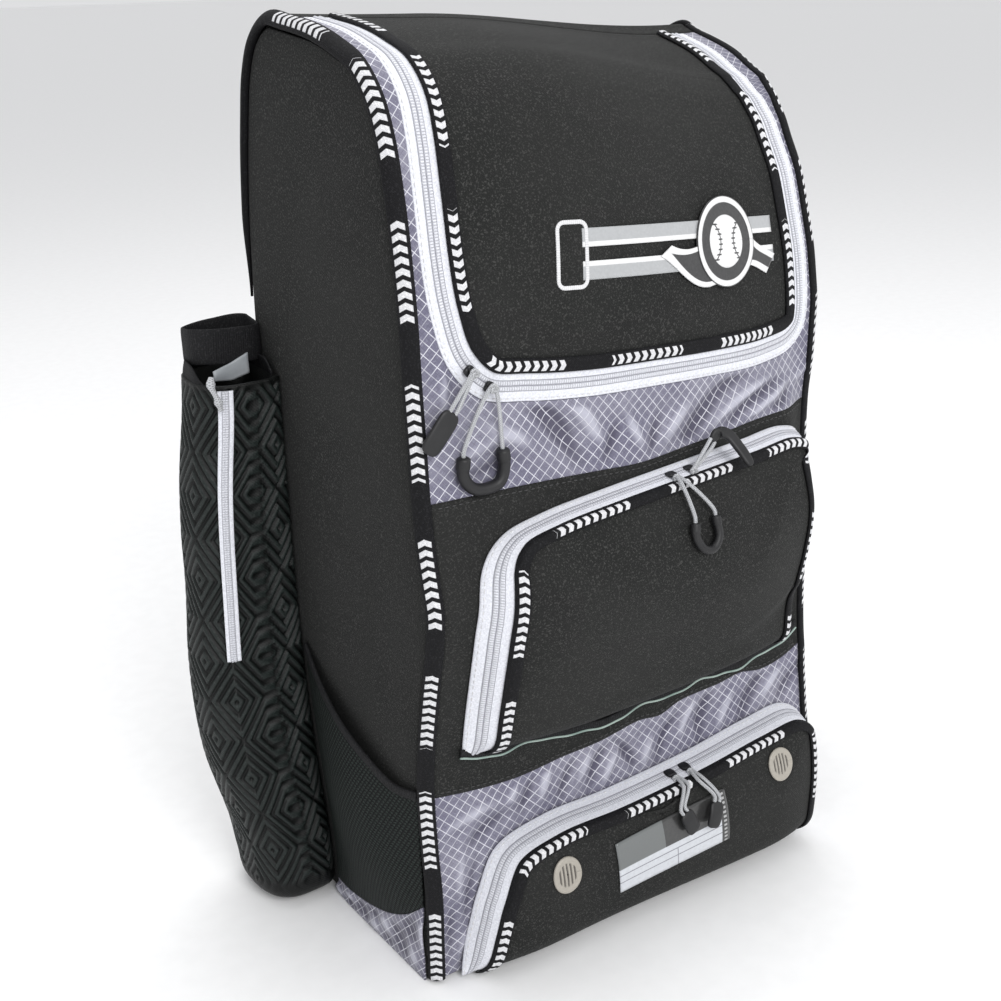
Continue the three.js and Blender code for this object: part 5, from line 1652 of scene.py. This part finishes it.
def all_pulls():
    flap = (flap_path, no_rise, COIL)
    middle = (middle_path, middle_rise, LAY + 1.6 + COIL)
    shoe = (shoe_path, shoe_rise, LAY + 1.6 + COIL)
    bend = [(-8, -16, 6.5), (-17, -27, 6.5), (-26, -38, 5.5)]
    zipper_pull("flap_pull_a", flap, -141, bend, flat_top, wide=14)
    left, right = [(-17, -31, 5), (-17, -44, 4), (-11, -52, 4)], [(7, -52, 4), (11, -44, 4), (10, -31, 5)]
    bend = left + [(-2, -54, 4)] + right
    zipper_pull("flap_pull_b", flap, -126, bend, flat_top, rod=3.8)
    bend = [(2, -36, 5), (1, -45, 4), (6, -51, 4), (14, -52, 4), (20, -48, 4), (20, -35, 5)]
    zipper_pull("middle_pull_a", middle, 8, bend, middle_top, over=True)
    bend = [(14, 13, 19), (19, 18, 19), (26, 16, 21), (31, 6, 27), (33, -6, 35)]
    zipper_pull("middle_pull_b", middle, 24, bend, flat_top, wide=8)
    bend = [(-6, -23.5, 7), (-3, -30, 7), (1, -38, 6)]
    zipper_pull("shoe_pull_a", shoe, 20, bend, shoe_top, wide=12, over=True)
    bend = [(9, -25.5, 7), (6, -32, 8), (2, -40, 8)]
    zipper_pull("shoe_pull_b", shoe, 33, bend, shoe_top, wide=12, over=True)


# Stitches, hems, and the painted highlight and shadow at the middle pocket's foot
def stitch_row(name, path, above, material, pitch=4.6, long=3.1, thick=0.42):
    """Small spindles along a path: rings whose radius is 1 - t^4 of the thickness, carried to
    each stitch's place by its direction and the cloth's normal."""
    run = lengths(path)
    count = max(2, int(run[-1] / pitch))
    at = (np.arange(count) + 0.5) / count * run[-1]
    centre, ahead, normal = (
        np.stack([np.interp(place, run, column) for column in source.T], axis=1)
        for source, place in ((path, at), (path, at + 0.8), (above, at))
    )
    ahead, normal = ahead - centre, normal - centre
    ahead /= np.linalg.norm(ahead, axis=1)[:, None] + 1e-9
    side = np.cross(ahead, normal)
    side /= np.linalg.norm(side, axis=1)[:, None]
    normal = np.cross(side, ahead)
    t = np.linspace(-1, 1, 5)
    radius = thick * (1 - 0.85 * t**4)
    angle = np.linspace(0, 2 * np.pi, 6, endpoint=False)
    shape = (
        (t * long / 2)[None, :, None, None] * ahead[:, None, None]
        + (radius[:, None] * np.cos(angle))[None, ..., None] * side[:, None, None]
        + (radius[:, None] * np.sin(angle))[None, ..., None] * normal[:, None, None]
    )
    points = (centre[:, None, None] + shape).reshape(-1, 3)
    index = np.arange(count * 30).reshape(count, 5, 6)
    faces = np.concatenate([quads(wrapped(one)) for one in index])
    caps = np.concatenate([index[:, 0, ::-1], index[:, -1]])
    halves = np.concatenate([caps[:, [0, 1, 2, 3]], caps[:, [0, 3, 4, 5]]])
    add_piece(name, points, [np.concatenate([faces, halves])], points[:, [0, 2]], material)


def stitch_outline(name, path, rise, deep, high, material):
    """A row of stitches that keeps its distance in from an outline."""
    x, along = inset(path, [deep])
    lines = [lift(x, along, rise(deep + 0 * along, along) + high + more)[:, 0] for more in (0.0, 1.0)]
    stitch_row(name, *lines, material)


def stitch_line(name, line, beyond, high, material):
    """Stitches that keep their distance from a wavy line across the front."""
    x = np.linspace(4 - FRONT_HALF, FRONT_HALF - 4, 200)
    along = level_line(line, x) + beyond
    stitch_row(name, lift(x, along, high), lift(x, along, high + 1), material)


def pocket_foot_highlight_and_shadow():
    """The middle pocket's foot: a thin pale cord along a wavy line, a painted highlight on the
    pocket's lower edge, which turns up round the left tape's foot, under a dark sheet that is a
    painted shadow."""
    x = np.linspace(POCKET_FOOT_LINE[0, 0], POCKET_FOOT_LINE[-1, 0], 300)
    along = level_line(POCKET_FOOT_LINE, x) + 0.5 * np.sin(x / 4.1)
    high = LAY + 2.4 + 1.2 * np.sin(x / 21) ** 2
    line = lift(x, along, high)
    # The pale cord is a painted highlight along the pocket's lower edge.
    section = round_section(0.75, 10)
    carry("middle_pocket_edge_highlight", line, section, UPWARD, PALE_HEM_AND_HIGHLIGHT)
    # A dark sheet just above the pale cord: a painted shadow.
    rise = np.linspace(0, 1, 8)[:, None]
    points = lift(x[None], along[None] + 7.0 * rise, high[None] + 1.0 * np.sin(np.pi * rise) - 0.4)
    lay = stacked(x[None], along[None] + 7.0 * rise)
    add_sheet("middle_pocket_edge_shadow", points, lay, WEBBING, [], INSIDE, 1.0)


def tape_ends():
    """Thin turned edges across the middle zipper's lower ends."""
    for name, row in (("left", 0), ("right", -1)):
        x, along = inset(middle_path[[row]], np.linspace(0.5, 19.5, 20))
        line = lift(x, along, middle_rise(np.linspace(0.5, 19.5, 20)[None], along) + LAY + 1.4)[0]
        section = round_section(1.0, 10)
        carry(f"middle_tape_end_{name}", line, section, UPWARD, PALE_HEM_AND_HIGHLIGHT)


def all_stitches():
    for name, path, rise, low in (
        ("flap", flap_path, no_rise, 2 * GAP),
        ("middle", middle_path, middle_rise, LAY + CLOTH + 2 * GAP),
        ("shoe", shoe_path, shoe_rise, LAY + CLOTH + 2 * GAP),
    ):
        tape_high = 0.05 if name == "flap" else LAY + 1.65
        stitch_outline(f"{name}_tape_stitches", path, rise, 2.2, tape_high, THREAD)
        stitch_outline(f"{name}_binding_stitches", path, rise, 25.6, low + 1.55, DARK_THREAD)
    stitch_line("low_seam_stitches", LOW_LINE, 3, 0.2, DARK_THREAD)
    stitch_line("high_seam_stitches", HIGH_LINE, -3.5, 0.2, DARK_THREAD)


# Back, base and straps
def base_panel():
    """The bag's floor: a rounded rectangle whose corners are a superellipse of power 8."""
    share = np.linspace(0.001, 1, 24)[:, None]
    angle = np.linspace(0, 2 * np.pi, 145)[None]
    front, back = PROFILE[0, 0] * DEPTH + 1, PROFILE[-1, 0] * DEPTH - 1
    c, s = rounded(angle, 0.25)
    x = (FRONT_HALF - GAP) * share * c
    y = (front + back) / 2 + (back - front) / 2 * share * s
    points = stacked(x, y, 0.02 * share)
    lay = np.stack([points[..., 0], points[..., 1]], axis=-1)
    add_sheet("base_panel", points, lay, HEATHER, ["base_panel"], INSIDE, BASE_THICK - 0.1)


STRAP_ACROSS, STRAP_WIDE, STRAP_THICK = 0.32, 58.0, 9.0
STRAP_ROWS = [(0.93, 5.4), (0.87, 18), (0.76, 34), (0.62, 40), (0.48, 34), (0.37, 22), (0.31, 15)]
WEBBING_ROWS = [(0.33, 0.44, 10.4), (0.31, 0.44, 8.2), (0.22, 0.52, 5), (0.12, 0.62, 2.5), (0.06, 0.68, 1.4)]
HAUL_ROWS = [(-20, 0.6), (-23, 12), (-14, 22), (0, 25), (14, 22), (23, 12), (20, 0.6)]


def inflate(piece, voxel, pressure, cap):
    """Swells a closed mesh as filled cloth: an even remesh, twenty frames of cloth under
    pressure without gravity, and no point moved further than the cap."""
    bpy.context.view_layer.objects.active = piece
    remesh = piece.modifiers.new("remesh", "REMESH")
    remesh.mode = "VOXEL"
    remesh.voxel_size = voxel * MM
    settle(piece)
    start = np.empty(len(piece.data.vertices) * 3, np.float32)
    piece.data.vertices.foreach_get("co", start)
    cloth = piece.modifiers.new("cloth", "CLOTH")
    cloth.settings.use_pressure = True
    cloth.settings.uniform_pressure_force = pressure
    cloth.settings.effector_weights.gravity = 0
    for number in range(1, 21):
        bpy.context.scene.frame_set(number)
    settle(piece)
    bpy.context.scene.frame_set(1)
    end = np.empty_like(start)
    piece.data.vertices.foreach_get("co", end)
    moved = (end - start).reshape(-1, 3)
    far = np.linalg.norm(moved, axis=1)[:, None]
    moved *= np.minimum(1, cap * MM / np.maximum(far, 1e-9))
    piece.data.vertices.foreach_set("co", (start.reshape(-1, 3) + moved).ravel())
    piece.data.update()


def settle(piece):
    """Puts the modifiers' result into the mesh and removes them."""
    seen = piece.evaluated_get(bpy.context.evaluated_depsgraph_get())
    mesh = bpy.data.meshes.new_from_object(seen)
    piece.modifiers.clear()
    piece.data = mesh


def shoulder_strap(name, sign):
    """A padded strap: a rounded flat section down the back, closed by its shrinking ends."""
    knots = [
        lift(sign * HALF * (STRAP_ACROSS + 0.02 * row), along_back(up * HEIGHT), off)
        for row, (up, off) in enumerate(STRAP_ROWS)
    ]
    path = spline(np.array(knots), 110)
    shrink = 1.5
    section = flat_section(STRAP_WIDE - 2 * shrink, STRAP_THICK - 2 * shrink, 44, 0.3)
    share = np.linspace(0, 1, 111)
    ends = (1 - (2 * share - 1) ** 40) ** 0.5 * 0.9 + 0.1
    rings = sweep(path, section, RIGHTWARD)
    rings = scaled(path, rings, ends)
    piece = add_tube(name, rings, ring_lay(path, section), HEATHER, [name])
    inflate(piece, 4.0, 4.0, 3.0)
    spots = np.empty(len(piece.data.vertices) * 3, np.float32)
    piece.data.vertices.foreach_get("co", spots)
    spots = spots.reshape(-1, 3) / MM
    place = piece.data.attributes.new("lay", "FLOAT_VECTOR", "POINT")
    lay = np.column_stack([spots[:, 2], spots[:, 0], 0 * spots[:, 0]])
    place.data.foreach_set("vector", lay.ravel())
    piece.data.polygons.foreach_set("use_smooth", np.ones(len(piece.data.polygons), bool))
    finer = piece.modifiers.new("finer", "SUBSURF")
    finer.levels = finer.render_levels = 1
    for side, edge in (("in", -1), ("out", 1)):
        line = path[3:-3] + (edge * (STRAP_WIDE / 2 - 0.5), 0, 0)
        seam = flat_section(3.4, 5.0, 14, 0.6)
        carry(f"{name}_binding_{side}", line, seam, RIGHTWARD, WEBBING)


def strap_webbing(name, sign):
    knots = [lift(sign * HALF * x, along_back(up * HEIGHT), off) for up, x, off in WEBBING_ROWS]
    path = spline(np.array(knots), 90)
    section = flat_section(25, 2.0, 26)
    carry(name, path, section, RIGHTWARD, WEBBING, [name])


def haul_loop(name):
    level = along_back(0.945 * HEIGHT)
    knots = np.array([lift(x, level, off) for x, off in HAUL_ROWS])
    path = spline(knots, 100)
    along = lift(0.0, level + 5, 0.0) - lift(0.0, level - 5, 0.0)
    section = flat_section(24, 2.4, 26)
    carry(name, path, section, along, WEBBING, [name])


flap_stripes()
flap_emblem()
id_label()
vent("vent_left", -0.5, 0.113)
vent("vent_right", 0.64, 0.137)
all_pulls()
pocket_foot_highlight_and_shadow()
tape_ends()
all_stitches()
base_panel()
for side, sign in (("left", -1), ("right", 1)):
    shoulder_strap(f"shoulder_strap_{side}", sign)
    strap_webbing(f"strap_webbing_{side}", sign)
haul_loop("haul_loop")

# Camera, light and floor
FLOOR = plain_finish("pale_floor", "cloth", rgb(0.92, 0.92, 0.92), rgb(0.94, 0.94, 0.94), 0.8)
bpy.ops.mesh.primitive_plane_add(size=80, location=(0, 0, 0))
floor = bpy.context.object
floor.name = "floor"
floor.data.materials.append(FLOOR)


def place_camera():
    """The photograph's own view: a turn to the right, a tilt down and a slight roll."""
    yaw, pitch, roll = (math.radians(v) for v in (35.06, 20.96, -1.616))
    cy, sy, cp, sp = math.cos(yaw), math.sin(yaw), math.cos(pitch), math.sin(pitch)
    turn = np.array([[cy, -sy, 0], [-sy * sp, -cy * sp, -cp], [sy * cp, cy * cp, -sp]])
    cr, sr = math.cos(roll), math.sin(roll)
    turn = np.array([[cr, -sr, 0], [sr, cr, 0], [0, 0, 1]]) @ turn
    pose = Matrix.Identity(4)
    for row, axis in enumerate((turn[0], -turn[1], -turn[2])):
        for k in range(3):
            pose[k][row] = axis[k]
    for k, value in enumerate((-0.5669, -0.7333, 0.6446)):
        pose[k][3] = value
    data = bpy.data.cameras.new("camera")
    data.sensor_width = 36.0
    data.lens = 49.88
    data.clip_start, data.clip_end = 0.05, 100
    camera = bpy.data.objects.new("camera", data)
    camera.matrix_world = pose
    bpy.context.scene.collection.objects.link(camera)
    bpy.context.scene.camera = camera


def soft_light(name, place, target, size, power):
    """A square soft light at a place, turned towards a target."""
    data = bpy.data.lights.new(name, "AREA")
    data.size = size
    data.energy = power
    lamp = bpy.data.objects.new(name, data)
    bpy.context.scene.collection.objects.link(lamp)
    back = np.array(place, float) - np.array(target, float)
    back /= np.linalg.norm(back)
    right = np.cross((0, 0, 1), back)
    right /= np.linalg.norm(right)
    up = np.cross(back, right)
    pose = Matrix.Identity(4)
    for column, axis in enumerate((right, up, back)):
        for k in range(3):
            pose[k][column] = axis[k]
    for k in range(3):
        pose[k][3] = place[k]
    lamp.matrix_world = pose


place_camera()
soft_light("key", (-0.5, -2.6, 2.0), (0, 0, 0.35), 1.3, 54)
soft_light("fill", (2.2, -1.6, 1.2), (0, 0, 0.3), 1.8, 6)
soft_light("left_side", (-2.6, 0.2, 1.1), (0, 0, 0.3), 1.6, 2)
soft_light("top", (0.2, 0.6, 2.6), (0, 0, 0.5), 1.6, 24)
world = bpy.data.worlds.new("studio")
world.use_nodes = True
world.node_tree.nodes["Background"].inputs["Color"].default_value = rgb(0.98, 0.985, 1.0)
world.node_tree.nodes["Background"].inputs["Strength"].default_value = 0.75
bpy.context.scene.world = world
bpy.context.scene.view_settings.view_transform = "Standard"

bpy.context.view_layer.update()
